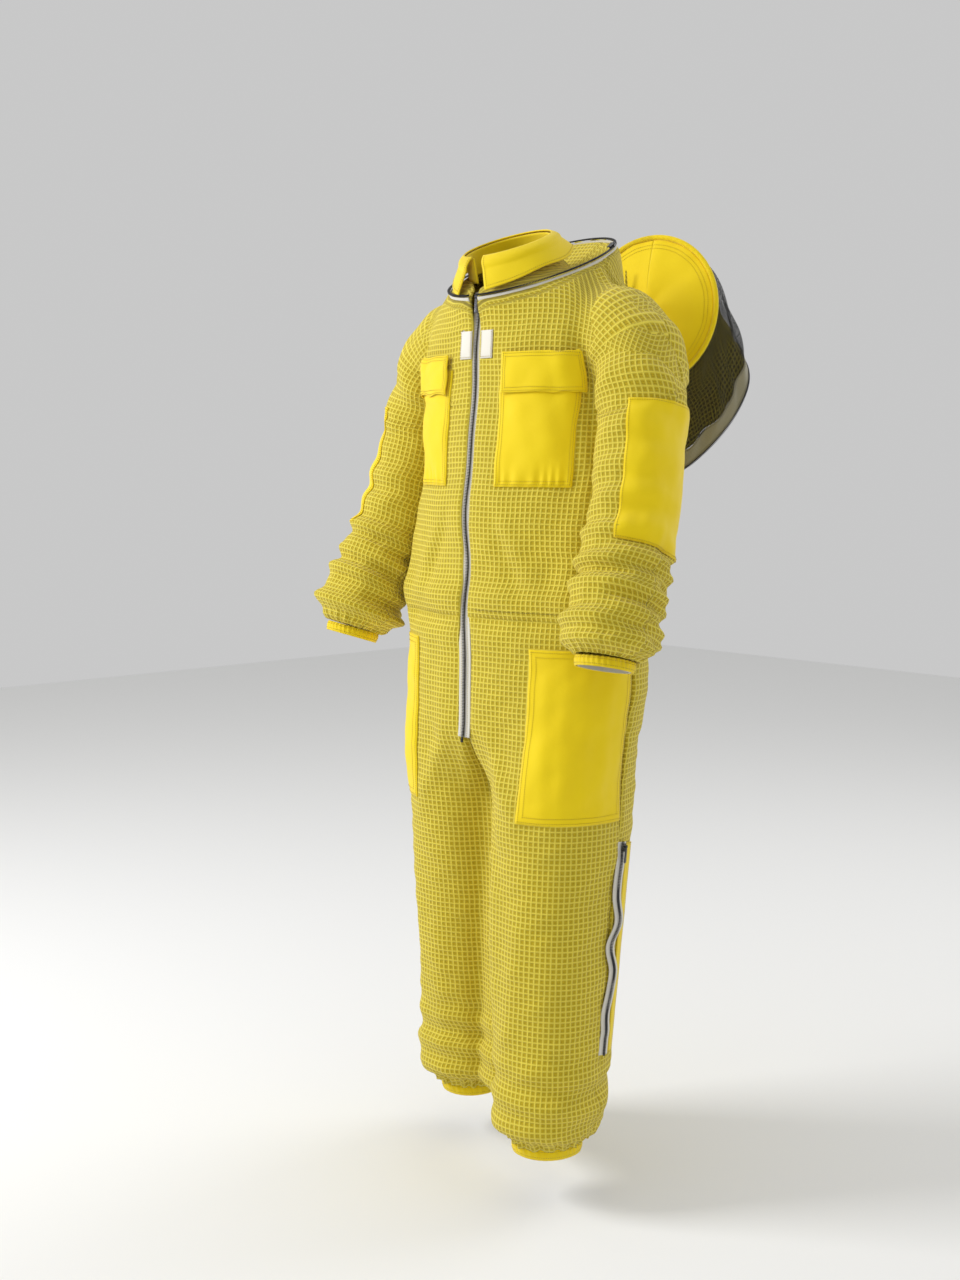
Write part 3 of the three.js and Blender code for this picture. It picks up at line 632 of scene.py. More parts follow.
def buildTorso():
    ways = torsoWays()
    body = treeOf(*torsoNodes)
    every = treeOf(*torsoNodes, *sleeveNodes["left"], *sleeveNodes["right"])
    lowRows = int(round((torso["turnZ"] - waist) / torso["step"]))
    levels = np.linspace(waist, torso["turnZ"], lowRows)
    grid = []
    for z in levels:
        origin = Vector((0, torso["axisY"], z))
        grid.append([min(reachOut(every, origin, w), reachOut(body, origin, w) + 0.012) for w in ways])
    grid = fillGaps(np.array(grid))
    origin = Vector((0, torso["axisY"], torso["turnZ"]))
    up = Vector((0, 0, 1))
    rims = []
    for way in ways:
        rise = 20.0
        while rise < 88:
            aim = way * math.cos(math.radians(rise)) + up * math.sin(math.radians(rise))
            if math.isnan(reachOut(body, origin, aim)):
                break
            rise += 0.5
        rims.append(math.radians(rise - 0.5))
    rims = blur(np.array(rims), 6, 0, True)
    shares = np.arange(1, torso["topRows"] + 1) / torso["topRows"]
    tops = []
    for share in shares:
        line = []
        for way, rim in zip(ways, rims):
            rise = rim * share
            aim = way * math.cos(rise) + up * math.sin(rise)
            line.append(min(reachOut(every, origin, aim), reachOut(body, origin, aim) + 0.012))
        tops.append(line)
    tops = fillGaps(np.array(tops))
    reach = np.vstack([grid, tops])
    reach = blur(blur(reach, 10, 1, True), 10, 0)
    flat = np.array([[w.x, w.y] for w in ways])
    low = np.dstack([reach[:lowRows, :, None] * flat, np.repeat(levels[:, None], len(ways), 1)])
    rise = rims * shares[:, None]
    out = reach[lowRows:] * np.cos(rise)
    high = np.dstack([out[..., None] * flat, reach[lowRows:] * np.sin(rise) + torso["turnZ"]])
    points = np.vstack([low, high])
    points[..., 1] += torso["axisY"]
    return points, lowRows


# The cloth rises to the ring zip, which is sewn to it all the way round.
def meetRing(points, lowRows):
    azimuth = np.arctan2(points[lowRows + 20, :, 0], -(points[lowRows + 20, :, 1] - torso["axisY"]))
    turn = np.linspace(-math.pi, math.pi, 721)
    ring = ringPoint(turn, ringRadius, -0.006)
    bearing = np.arctan2(ring[:, 0], -(ring[:, 1] - torso["axisY"]))
    ringRow = np.zeros(points.shape[1])
    for column in range(points.shape[1]):
        goal = np.array([np.interp(azimuth[column], bearing, ring[:, axis]) for axis in range(3)])
        line = points[:, column]
        away = np.linalg.norm(line - goal, axis=1)
        away[:lowRows - 8] = 9
        nearest = int(away.argmin())
        ringRow[column] = nearest
        lengths = np.cumsum(np.r_[0, np.linalg.norm(np.diff(line, axis=0), axis=1)])
        shift = goal - line[nearest]
        apart = lengths - lengths[nearest]
        spread = np.where(apart < 0, 0.032, 0.022)
        line += shift * np.exp(-((apart / spread) ** 2))[:, None]
    return blur(ringRow, 3, 0, True)


torsoGrid, torsoLow = buildTorso()
ringRow = meetRing(torsoGrid, torsoLow)
torsoGrid = blur(torsoGrid, 2, 1, True)
torsoAcross = lengthsAlong(torsoGrid, 1)
torsoAlong = lengthsAlong(torsoGrid, 0)[:, :1] * np.ones((1, torso["columns"]))


# Each fold: its two ends on the wearer's left, width, height there and height on the right.
torsoRidges = (
    ((0.150, -0.098, -0.045), (0.188, -0.096, -0.30), 0.013, 0.011, 0.0088),
    ((0.176, -0.070, -0.06), (0.204, -0.060, -0.30), 0.012, -0.010, -0.010),
    ((0.060, -0.135, -0.36), (0.150, -0.120, -0.50), 0.020, 0.006, 0.0048),
    ((0.035, -0.140, -0.33), (0.120, -0.130, -0.52), 0.014, -0.005, -0.005),
    ((0.130, 0.120, -0.12), (0.090, 0.128, -0.40), 0.03, 0.008, 0.008),
    ((0.190, -0.04, -0.40), (0.215, -0.05, -0.53), 0.022, 0.007, 0.007),
)
torsoFold = {"drift": (0.0045, 0.17), "crease": (0.002, 0.06), "blouse": 0.007, "tuck": 0.003, "seam": 0.0018}


def torsoFolds(grid):
    x, z = grid[..., 0], grid[..., 2]
    away = normalsOf(grid, True)
    front = grid[..., 1] < 0.02
    move = sum(height * softNoise(torsoAcross, torsoAlong, size)
               for height, size in (torsoFold["drift"], torsoFold["crease"]))
    for sign in (1, -1):
        mirror = np.array([sign, 1, 1])
        for start, end, width, left, right in torsoRidges:
            move += ridge(grid, start * mirror, end * mirror, width, left if sign > 0 else right)
    tuck = np.exp(-(((z - waist) / 0.007) ** 2))
    move += torsoFold["blouse"] * np.exp(-(((z - waist - 0.035) / 0.022) ** 2)) - torsoFold["tuck"] * tuck
    seam = np.exp(-(((grid[..., 1] - torso["axisY"]) / 0.0035) ** 2)) * (z < -0.13)
    move -= torsoFold["seam"] * seam
    calm = 1 - 0.9 * np.exp(-((x / 0.03) ** 2)) * front
    nearNeck = np.clip((torsoAlong.max() - torsoAlong) / 0.12, 0, 1)
    grid = grid + away * (move * calm * nearNeck)[..., None]
    centreLine = np.exp(-((x / 0.11) ** 2)) * front
    grid[..., 1] -= closureSwell(z) * centreLine
    grid[..., 1] += closure["ease"] * np.exp(-((x / 0.014) ** 2)) * front
    return grid


torsoGrid = torsoFolds(torsoGrid)
outside = (normalsOf(torsoGrid, True)[20, 0] @ np.array([0, -1, 0])) > 0
print("torso shaped", "outwards" if outside else "inwards")


def columnAtX(grid, goal, columns):
    found = []
    for row, want in zip(grid, np.broadcast_to(goal, (len(grid),))):
        x = row[columns, 0]
        order = np.argsort(x)
        found.append(np.interp(want, x[order], columns[order]))
    return np.array(found)


quarter = torso["columns"] // 4


def torsoPanel(name, node, start, end, columns, rows, grain):
    spread = start[:, None] + (end - start)[:, None] * np.linspace(0, 1, columns)
    rowGrid = np.repeat(rows[:, None].astype(float), columns, 1)
    grid = sample(torsoGrid, rowGrid, spread, True)
    clothPiece(name, node, grid, thickness["mesh"], outside, uv=grainMap(grid, grain))


def buildPanels():
    rows = np.arange(int(ringRow.min()) + 1)
    body = torsoGrid[rows]
    rightSide = np.arange(1, quarter)
    edgeLeft = columnAtX(body, closureWave(body[:, 0, 2]) + closure["edge"], rightSide)
    leftSide = np.arange(torso["columns"] - quarter, torso["columns"])
    edgeRight = columnAtX(body, closureWave(body[:, 0, 2]) - closure["edge"], leftSide)
    level = np.full(len(rows), float(quarter))
    torsoPanel("frontPanelLeft", "front_panel_left", edgeLeft, level, 72, rows, 0)
    torsoPanel("frontPanelRight", "front_panel_right", level * 3, edgeRight, 72, rows, 71)
    torsoPanel("backPanel", "back_panel", level, level * 3, 132, rows, 66)
    return rows[-1]


panelTop = buildPanels()


# The yoke inside the ring zip, from the panels' tops to the foot of the collar.
def buildYoke():
    columns = torso["columns"]
    gapHalf = 1.4
    spread = np.linspace(gapHalf, columns - gapHalf, 260)[None, :]
    shares = np.linspace(0, 1, 34)[:, None]
    top = len(torsoGrid) - 1
    rowGrid = panelTop + shares * (top - panelTop) + 0 * spread
    columnGrid = spread + 0 * shares
    grid = sample(torsoGrid, rowGrid, columnGrid, True)
    uv = grainMap(grid, 130)  # the column at the middle of the back
    clothPiece("neckStand", "neck_stand", grid, thickness["yoke"], outside, uv=uv)


buildYoke()


# Legs.
legShape = {"columns": 176, "step": 0.0045, "centreX": (0.115, 0.141), "seamX": 0.0002,
            "hem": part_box("leg_front_left")[0].z}
legTurnY = {"left": (0.010, -0.008, -0.066), "right": (0.010, 0.004, 0.024)}
legKnots = (waist, -0.765, -1.29)
crotch = -0.772


def buildLeg(side):
    sign = 1 if side == "left" else -1
    names = [f"leg_front_{side}", f"leg_back_{side}", f"leg_front_{'right' if sign > 0 else 'left'}"]
    tree = treeOf(*names, "front_tape_left", "front_tape_right")
    count = int(round((waist - legShape["hem"]) / legShape["step"]))
    levels = np.linspace(waist, legShape["hem"] + 0.0005, count)
    turns = np.arange(legShape["columns"]) / legShape["columns"] * math.tau
    reach, centres = [], []
    for z in levels:
        x = sign * np.interp(-z, [-k for k in legKnots[1:]], legShape["centreX"])
        y = np.interp(-z, [-k for k in legKnots], legTurnY[side])
        origin = Vector((x, y, min(z, waist - 0.004)))  # just under the panels' cut edge
        centres.append((x, y))
        line = []
        for turn in turns:
            way = Vector((math.cos(turn) * sign, -math.sin(turn), 0))
            far = reachOut(tree, origin, way)
            inward = -way.x * sign
            plane = abs(x) / inward if inward > 1e-4 else 9.0
            line.append(min(plane, 9.0 if math.isnan(far) else far) if inward > 1e-4 else far)
        reach.append(line)
    reach = fillGaps(np.array(reach))
    softer = blur(reach, 160, 0)
    atCrotch = np.exp(-(((levels - crotch) / 0.06) ** 4))[:, None]
    reach = blur(blur(reach, 8, 1, True), 10, 0)
    reach = reach * (1 - atCrotch) + softer * atCrotch
    centres = np.array(centres)
    grid = np.stack(
        [
            centres[:, :1] + sign * reach * np.cos(turns),
            centres[:, 1:] - reach * np.sin(turns),
            np.repeat(levels[:, None], len(turns), 1),
        ],
        -1,
    )
    grid[..., 0] = sign * np.maximum(sign * grid[..., 0], legShape["seamX"])
    return grid, levels, turns


# Each fold: its two ends on the left leg, width and height.
legRidges = (
    ((0.035, -0.150, -0.70), (0.150, -0.150, -0.90), 0.018, 0.010),
    ((0.020, -0.140, -0.76), (0.110, -0.150, -0.98), 0.016, -0.008),
    ((0.060, -0.155, -0.84), (0.085, -0.170, -1.20), 0.022, 0.010),
    ((0.150, -0.150, -0.95), (0.120, -0.170, -1.28), 0.020, 0.008),
    ((0.195, -0.080, -0.90), (0.185, -0.110, -1.20), 0.018, -0.006),
    ((0.080, 0.085, -0.80), (0.120, 0.055, -1.15), 0.025, 0.010),
    ((0.170, 0.070, -0.62), (0.060, 0.090, -0.80), 0.028, 0.009),
)
legFold = {"drift": 0.005, "crease": 0.0022, "roll": 0.0048, "blouse": 0.007, "pleats": 0.0028,
           "seam": 0.0016, "waist": 0.004, "calmed": 0.92, "zipTop": -0.86, "zipEnd": -1.25, "zipTurn": 17}


def legFolds(grid, levels, turns, sign):
    across, along = lengthsAlong(grid, 1), lengthsAlong(grid, 0)[:, :1] * np.ones((1, grid.shape[1]))
    away = normalsOf(grid, True)
    if away[60, 0, 0] * sign < 0:
        away = -away
    z = levels[:, None]
    move = legFold["drift"] * softNoise(across, along, 0.22)
    move += legFold["crease"] * softNoise(across, along * 1.6, 0.07)
    mirror = np.array([sign, 1, 1])
    for start, end, width, height in legRidges:
        move += ridge(grid, start * mirror, end * mirror, width, height)
    low = np.clip((-1.19 - z) / 0.1, 0, 1) * np.clip((z - legShape["hem"]) / 0.02, 0, 1)
    roll = np.sin(2 * np.pi * (z / 0.052 + 0.28 * np.sin(turns + 0.8) + 0.17 * np.sin(2 * turns + 2.1)))
    move += legFold["roll"] * low * roll
    move += legFold["blouse"] * np.exp(-(((z + 1.325) / 0.022) ** 2))
    end = np.exp(-(((z - legShape["hem"]) / 0.022) ** 2))
    pleats = np.sin(27 * turns + 1.5 * np.sin(3 * turns)) + 0.5 * np.sin(41 * turns + 2)
    move += legFold["pleats"] * end * pleats
    sideSeam = np.exp(-((np.minimum(turns, math.tau - turns) / 0.03) ** 2))
    move -= legFold["seam"] * sideSeam * (z < waist - 0.02)
    zipTurn = math.tau - math.radians(legFold["zipTurn"])
    nearZip = np.exp(-(((turns - zipTurn) / 0.26) ** 2)) * ((z < legFold["zipTop"]) & (z > legFold["zipEnd"]))
    move = move * (1 - legFold["calmed"] * nearZip)
    x = grid[..., 0]
    frontSide = grid[..., 1] < -0.02
    calm = 1 - 0.95 * np.exp(-((x / 0.03) ** 2)) * (z > -0.80)
    settle = np.clip((waist - z) / 0.02, 0, 1)
    swell = legFold["waist"] * np.exp(-(((z - waist + 0.03) / 0.02) ** 2))
    move = move * calm * settle + swell * calm * settle
    grid = grid + away * move[..., None]
    grid[..., 1] -= closureSwell(z) * np.exp(-((x / 0.11) ** 2)) * frontSide * (z > frontLow.z)
    overZip = np.clip((z - frontLow.z) / 0.012, 0, 1)
    grid[..., 1] += closure["ease"] * np.exp(-((x / 0.014) ** 2)) * frontSide * overZip
    grid[..., 0] = sign * np.maximum(sign * grid[..., 0], legShape["seamX"])
    return grid


# The leg's top rows are drawn to the torso's lowest row, so that the waist seam closes.
def joinWaist(grid):
    edge = torsoGrid[0]
    apart = np.linalg.norm(grid[0][:, None, :2] - edge[None, :, :2], axis=2)
    shift = edge[apart.argmin(1)] - grid[0]
    shift *= np.clip(0.016 / np.maximum(apart.min(1), 1e-6), 0, 1)[:, None]
    shift[np.abs(grid[0, :, 0]) < 0.001] = 0
    shift[:, 2] = 0
    shift = blur(shift, 4, 0, True)
    fade = np.exp(-((np.arange(len(grid)) / 5.0) ** 2))[:, None, None]
    return grid + shift * fade


legGrids = {}


def makeLeg(side):
    sign = 1 if side == "left" else -1
    grid, levels, turns = buildLeg(side)
    grid = joinWaist(legFolds(grid, levels, turns, sign))
    count = grid.shape[1]
    half = count // 2
    edges = {}
    eighth = count // 8
    for part, columns in (("front", np.arange(eighth, half + 1)), ("back", np.arange(half, count - eighth))):
        inner = []
        for row, z in zip(grid, levels):
            x = row[columns, 0] * sign
            limit = closure["edge"] + sign * closureWave(z) if part == "front" and z > frontLow.z else 0.0006
            if z < crotch + 0.001:
                inner.append(float(half))
                continue
            order = np.argsort(x)
            inner.append(float(np.interp(limit, x[order], columns[order])))
        edges[part] = np.array(inner)
    rows = np.arange(len(grid), dtype=float)
    facing = normalsOf(grid, True)[60, 0, 0] * sign > 0
    rowGrid = np.repeat(rows[:, None], half + 1, 1)
    for part, spread, grain in (
        ("front", np.minimum(np.arange(half + 1), edges["front"][:, None]), 30),
        ("back", np.maximum(np.arange(half, count + 1), edges["back"][:, None]), half - 30),
    ):
        cloth = sample(grid, rowGrid, spread, True)
        name = f"leg{part.capitalize()}{side.capitalize()}"
        uv = grainMap(cloth, grain, True)
        clothPiece(name, f"leg_{part}_{side}", cloth, thickness["mesh"], facing, uv=uv, weld=True)
    legGrids[side] = (grid, levels, facing)


for side in sides:
    makeLeg(side)
print("legs shaped")


# Sleeves.
armLines = {
    "left": [(150, 6, -82), (188, 6, -88), (232, 2, -122), (256, -14, -180), (270, -34, -270),
             (280, -58, -360), (290, -92, -450), (298, -122, -520), (301, -134, -556), (302, -139, -576)],
    "right": [(150, 6, -82), (188, 6, -88), (230, 4, -122), (254, -2, -180), (272, -14, -270),
              (284, -38, -360), (298, -76, -450), (308, -110, -520), (312, -124, -556), (314, -130, -576)],
}
sleeve = {"columns": 112, "rows": 128, "far": 0.25, "usual": 0.055, "drift": 0.0035, "crease": 0.0018,
          "crumple": 0.0058, "elbow": 0.004, "upper": 0.005, "blouse": 0.011, "pleats": 0.0026,
          "seamIn": 0.0026, "seamOut": 0.0022, "phase": {"left": 0.0, "right": 1.7}}
sleeveGrids = {}


def armLine(side):
    sign = 1 if side == "left" else -1
    points = np.array(armLines[side]) / 1000 * [sign, 1, 1]
    lengths = np.r_[0, np.cumsum(np.linalg.norm(np.diff(points, axis=0), axis=1))]
    steps = np.linspace(0, lengths[-1] - 0.0006, sleeve["rows"])
    line = np.stack([np.interp(steps, lengths, points[:, k]) for k in range(3)], -1)
    pinned = line.copy()
    line = blur(line, 30, 0)
    return line + (pinned[-1] - line[-1]) * np.linspace(0, 1, len(line))[:, None] ** 6, steps


def makeSleeve(side):
    sign = 1 if side == "left" else -1
    line, steps = armLine(side)
    tangent = unit(np.gradient(line, axis=0))
    fore = np.array([0, -1.0, 0])
    tree = treeOf(*sleeveNodes[side])
    turns = np.arange(sleeve["columns"]) / sleeve["columns"] * math.tau
    reach, frames = [], []
    for centre, way in zip(line, tangent):
        toFront = unit(fore - way * (fore @ way))
        toSide = np.cross(way, toFront) * sign
        if toSide[0] * sign < 0 and abs(toSide[2]) < 0.7:
            toSide = -toSide
        elif toSide[2] < 0 and abs(toSide[2]) >= 0.7:
            toSide = -toSide
        frames.append((toSide, toFront))
        row = []
        for turn in turns:
            aim = Vector(toSide * math.cos(turn) + toFront * math.sin(turn))
            row.append(reachOut(tree, Vector(centre), aim, sleeve["far"]))
        reach.append(row)
    reach = fillGaps(np.array(reach))
    reach = np.where(np.isnan(reach), sleeve["usual"], reach)
    reach = blur(blur(reach, 8, 1, True), 8, 0)
    base = np.array(
        [
            [c + r * (s * math.cos(t) + f * math.sin(t)) for r, t in zip(row, turns)]
            for c, row, (s, f) in zip(line, reach, frames)
        ]
    )
    share = (steps / steps[-1])[:, None]
    across, along = lengthsAlong(base, 1), steps[:, None] * np.ones((1, len(turns)))
    away = unit(base - line[:, None])
    phase = sleeve["phase"][side]
    move = sleeve["drift"] * softNoise(across, along, 0.12)
    move += sleeve["crease"] * softNoise(across, along, 0.045)
    lower = np.clip((share - 0.62) / 0.12, 0, 1) * np.clip((1.0 - share) / 0.05, 0, 1)
    swirl = 0.34 * np.sin(turns + 0.6 + phase) + 0.2 * np.sin(2 * turns + 1.9 + phase)
    crumple = np.sin(2 * np.pi * (along / 0.043 + swirl))
    crumple += 0.5 * np.sin(2 * np.pi * (along / 0.027 - 1.4 * swirl))
    move += sleeve["crumple"] * lower * crumple
    bend = np.exp(-(((share - 0.58) / 0.16) ** 2)) * np.clip(np.sin(turns + 0.5), 0, 1)
    move += sleeve["elbow"] * bend * np.sin(2 * np.pi * (along / 0.055 + 0.3 * np.cos(turns + phase)))
    upper = np.exp(-(((share - 0.26) / 0.12) ** 2))
    move += sleeve["upper"] * upper * np.sin(2 * np.pi * (along / 0.085 + 0.5 * np.sin(turns + 0.4 + phase)))
    move += sleeve["blouse"] * np.exp(-(((share - 0.945) / 0.03) ** 2))
    end = np.exp(-(((share - 1) / 0.04) ** 2))
    pleats = np.sin(25 * turns + 1.3 * np.sin(2 * turns)) + 0.5 * np.sin(38 * turns + 1)
    move += sleeve["pleats"] * end * pleats
    seamRow = 0.30 + 0.05 * np.sin(turns)
    move -= sleeve["seamIn"] * np.exp(-(((share - seamRow) / 0.007) ** 2))
    move += sleeve["seamOut"] * np.exp(-(((share - seamRow - 0.02) / 0.012) ** 2))
    grid = base + away * (move * np.clip(share / 0.15, 0, 1))[..., None]
    outward = normalsOf(grid, True)
    facing = (outward[60] * away[60]).sum() > 0
    count = len(turns)
    for part, start, finish in (("front", 0, count // 2), ("back", count // 2, count)):
        columns = np.arange(start, finish + 1, dtype=float)[None, :] + np.zeros((len(grid), 1))
        rows = np.arange(len(grid), dtype=float)[:, None] + 0 * columns
        cloth = sample(grid, rows, columns, True)
        name = f"sleeve{part.capitalize()}{side.capitalize()}"
        uv = grainMap(cloth, 28, True)
        clothPiece(name, f"sleeve_{part}_{side}", cloth, thickness["mesh"], facing, uv=uv)
    rowLine = seamRow * (len(grid) - 1)
    rowLine, columns = np.r_[rowLine, rowLine[:1]], np.r_[np.arange(count), 0.0]
    ways = outward if facing else -outward
    for offset in (0.8, 2.0):
        at, way = (sample(values, rowLine + offset, columns, True) for values in (grid, ways))
        stitchLines.append((at, way))
    sleeveGrids[side] = (grid, facing)


for side in sides:
    makeSleeve(side)
print("sleeves shaped")


# Pieces sewn on the cloth.
def patchFrom(name, node, base, rows, columns, lift, values, facing, slotName="cotton", body="suit"):
    spread = columns if columns.ndim == 2 else np.repeat(columns[None, :], len(rows), 0)
    at = sample(base, np.repeat(rows[:, None], spread.shape[1], 1), spread, True)
    softened = blur(blur(at, values["soften"], 1), values["soften"], 0)
    at[1:-1, 1:-1] = softened[1:-1, 1:-1]
    away = normalsOf(at) * (1 if facing else -1)
    u = np.linspace(0, 1, at.shape[1])[None, :]
    v = np.linspace(0, 1, at.shape[0])[:, None]
    inside = np.minimum(np.minimum(u, 1 - u), np.minimum(v, 1 - v)) * 2
    raised = lift + values["pillow"] * np.clip(inside * 3, 0, 1) ** 0.7
    flat = mapOf(at)
    wrinkles = values["wrinkle"] * softNoise(flat[..., 0], flat[..., 1] * 0.5, 0.05)
    raised = raised + wrinkles * np.clip(inside * 4, 0, 1)
    if "gathers" in values:
        foot = values["gathers"] * np.exp(-((v / 0.12) ** 2))
        raised = raised + foot * np.sin(u * 46 + 2 * np.sin(u * 9)) * np.clip(v * 30, 0, 1)
    raised = raised + values.get("belly", 0) * np.sin(np.pi * u) * np.sin(np.pi * v) ** 0.8
    grid = at + away * raised[..., None]
    thick = values.get("thick", thickness["patch"])
    clothPiece(name, node, grid, thick, facing, slotName, body, "laid", uv=flat)
    return grid, away


# Lines of stitches a little way inside the edge of a patch.
def edgeStitches(grid, away, insets, which="lrtb"):
    lines = []
    wide = lengthsAlong(grid, 1)[:, -1].mean()
    tall = lengthsAlong(grid, 0)[-1].mean()
    rowCount, columnCount = grid.shape[0] - 1, grid.shape[1] - 1
    for inset in insets:
        du, dv = inset / wide * columnCount, inset / tall * rowCount
        rows, columns = np.linspace(dv, rowCount - dv, 40), np.linspace(du, columnCount - du, 40)
        routes = {
            "b": (np.full(40, dv), columns),
            "t": (np.full(40, rowCount - dv), columns),
            "l": (rows, np.full(40, du)),
            "r": (rows, np.full(40, columnCount - du)),
        }
        for key in which:
            at = sample(grid, *routes[key])
            way = sample(away, *routes[key])
            lines.append((at + way * 0.0002, way))
    return lines


chest = {"pillow": 0.0012, "wrinkle": 0.0016, "gathers": 0.0016, "belly": 0.004, "soften": 6}
flapShape = {"pillow": 0.0008, "wrinkle": 0.0012, "belly": 0.0015, "thick": 0.0016, "soften": 6}
hookShape = {"pillow": 0.0006, "wrinkle": 0.0003, "thick": 0.0015, "soften": 2, "taller": 0.009,
             "closer": 0.002}
thighShape = {"pillow": 0.0012, "wrinkle": 0.002, "belly": 0.005, "soften": 6}
elbowShape = {"pillow": 0.001, "wrinkle": 0.0016, "belly": 0.0015, "soften": 4}
lifts = {"pocket": 0.0016, "flap": 0.0082, "hook": 0.0018, "thigh": 0.0018, "elbow": 0.0016}


def torsoPatch(name, node, values, lift, body, slotName="cotton", rowCount=60, columnCount=50):
    low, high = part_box(node)
    heights = torsoGrid[:torsoLow, 0, 2]
    high.z += values.get("taller", 0)
    rows = np.interp(np.linspace(low.z, high.z, rowCount), heights, np.arange(torsoLow))
    sign = 1 if (low.x + high.x) > 0 else -1
    if sign > 0:
        low.x -= values.get("closer", 0)
    else:
        high.x += values.get("closer", 0)
    near, far = (low.x, high.x) if sign > 0 else (high.x, low.x)
    columns = np.arange(1, quarter) if sign > 0 else np.arange(torso["columns"] - quarter, torso["columns"])
    picked = sample(torsoGrid, np.repeat(rows[:, None], torso["columns"], 1),
                    np.repeat(np.arange(torso["columns"])[None, :] * 1.0, rowCount, 0), True)
    first = columnAtX(picked, near, columns)
    last = columnAtX(picked, far, columns)
    spread = first[:, None] + (last - first)[:, None] * np.linspace(0, 1, columnCount)
    if sign < 0:
        spread = spread[:, ::-1]
    return patchFrom(name, node, torsoGrid, rows, spread, lift, values, outside, slotName, body)


for side in sides:
    label = side.capitalize()
    grid, away = torsoPatch(f"chestPocket{label}", f"chest_pocket_{side}", chest, lifts["pocket"], "suit")
    stitchLines += edgeStitches(grid, away, (0.003, 0.009), "lrb")
    flap = f"chest_flap_{side}"
    grid, away = torsoPatch(f"chestFlap{label}", flap, flapShape, lifts["flap"], flap)
    flapLines = edgeStitches(grid, away, (0.003, 0.008))
    runPiece(f"flapStitches{label}", flapLines, stitch, seamThread, flap)
    grid, away = torsoPatch(
        f"hookPatch{label}", f"hook_patch_{side}", hookShape, lifts["hook"], "suit", "hook_loop", 24, 14
    )
    stitchLines += edgeStitches(grid, away, (0.002,))


def thighPocket(side):
    grid, levels, facing = legGrids[side]
    sign = 1 if side == "left" else -1
    low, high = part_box(f"thigh_pocket_{side}")
    rows = np.interp(np.linspace(-high.z, -low.z, 78), -levels, np.arange(len(levels)))[::-1]
    columns = np.arange(2, grid.shape[1] // 3)
    near = low.x if sign > 0 else high.x
    picked = grid[np.round(rows).astype(int)]
    inner = []
    for row in picked:
        x = row[columns, 0] * sign
        inner.append(np.interp(-abs(near), -x[x.argmax():], columns[x.argmax():]))
    inner = blur(np.array(inner), 6, 0)
    outer = np.full(len(rows), 1.2)
    spread = outer[:, None] + (inner - outer)[:, None] * np.linspace(0, 1, 56)
    cloth, away = patchFrom(
        f"thighPocket{side.capitalize()}", f"thigh_pocket_{side}", grid, rows, spread, lifts["thigh"],
        thighShape, not facing
    )
    stitchLines.extend(edgeStitches(cloth, away, (0.003, 0.012)))


def elbowPatch(side):
    grid, facing = sleeveGrids[side]
    node = f"elbow_patch_{side}"
    low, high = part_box(node)
    tree = treeOf(node)
    levels = grid[:, 0, 2]
    rows = np.interp(-np.linspace(high.z, low.z, 60), -levels, np.arange(len(levels)))
    middle = len(rows) // 2
    count = grid.shape[1]
    covered = []
    for column in range(count):
        at = sample(grid, rows[middle:middle + 1], np.array([float(column)]), True)[0]
        if tree.find_nearest(Vector(at), 0.02)[0] is not None:
            covered.append(column if column < count // 2 else column - count)
    spread = np.linspace(min(covered), max(covered), 50)
    cloth, away = patchFrom(
        f"elbowPatch{side.capitalize()}", node, grid, rows, spread, lifts["elbow"], elbowShape, facing
    )
    stitchLines.extend(edgeStitches(cloth, away, (0.003,)))


for side in sides:
    thighPocket(side)
    elbowPatch(side)
print("pockets and patches sewn")


# Gathered cuffs at the wrists and ankles.
cuff = {"columns": 160, "rows": 9, "ribs": 34, "swell": 0.0015, "rib": 0.0012, "stitchRows": (2, 6)}


def makeCuff(name, node):
    corners = cornersOf(node)
    centre = corners.mean(0)
    way = np.linalg.eigh(np.cov((corners - centre).T))[1][:, 0]
    way *= 1 if way[2] > 0 else -1
    tall = float((corners @ way).max() - (corners @ way).min())
    sideWay = unit(np.cross([0, 1, 0], way))
    backWay = np.cross(way, sideWay)
    tree = treeOf(node)
    turns = np.arange(cuff["columns"]) / cuff["columns"] * math.tau
    middle = centre + way * (((corners @ way).max() + (corners @ way).min()) / 2 - centre @ way)
    aims = [Vector(sideWay * math.cos(turn) + backWay * math.sin(turn)) for turn in turns]
    reach = np.array([reachOut(tree, Vector(middle), aim, 0.2) for aim in aims])
    reach = blur(fillGaps(reach[None, :])[0], 8, 0, True)
    rows = []
    radial = np.cos(turns)[:, None] * sideWay + np.sin(turns)[:, None] * backWay
    for share in np.linspace(-0.5, 0.5, cuff["rows"]):
        swell = cuff["swell"] * math.cos(math.pi * share)
        swell = swell + cuff["rib"] * np.sin(cuff["ribs"] * turns + 3 * share) * (0.6 + share)
        rows.append(middle + way * tall * share + radial * (reach + swell)[:, None])
    grid = np.array(rows)
    cotton = materials["cotton"]
    clothPiece(name, node, grid, thickness["cuff"], True, held="gathered", wrap=True, material=cotton)
    for row in cuff["stitchRows"]:
        stitchLines.append((np.vstack([grid[row], grid[row, :1]]), np.vstack([radial, radial[:1]])))


for limb in ("wrist", "ankle"):
    for side in sides:
        makeCuff(f"{limb}Cuff{side.capitalize()}", f"{limb}_{side}_cuff")


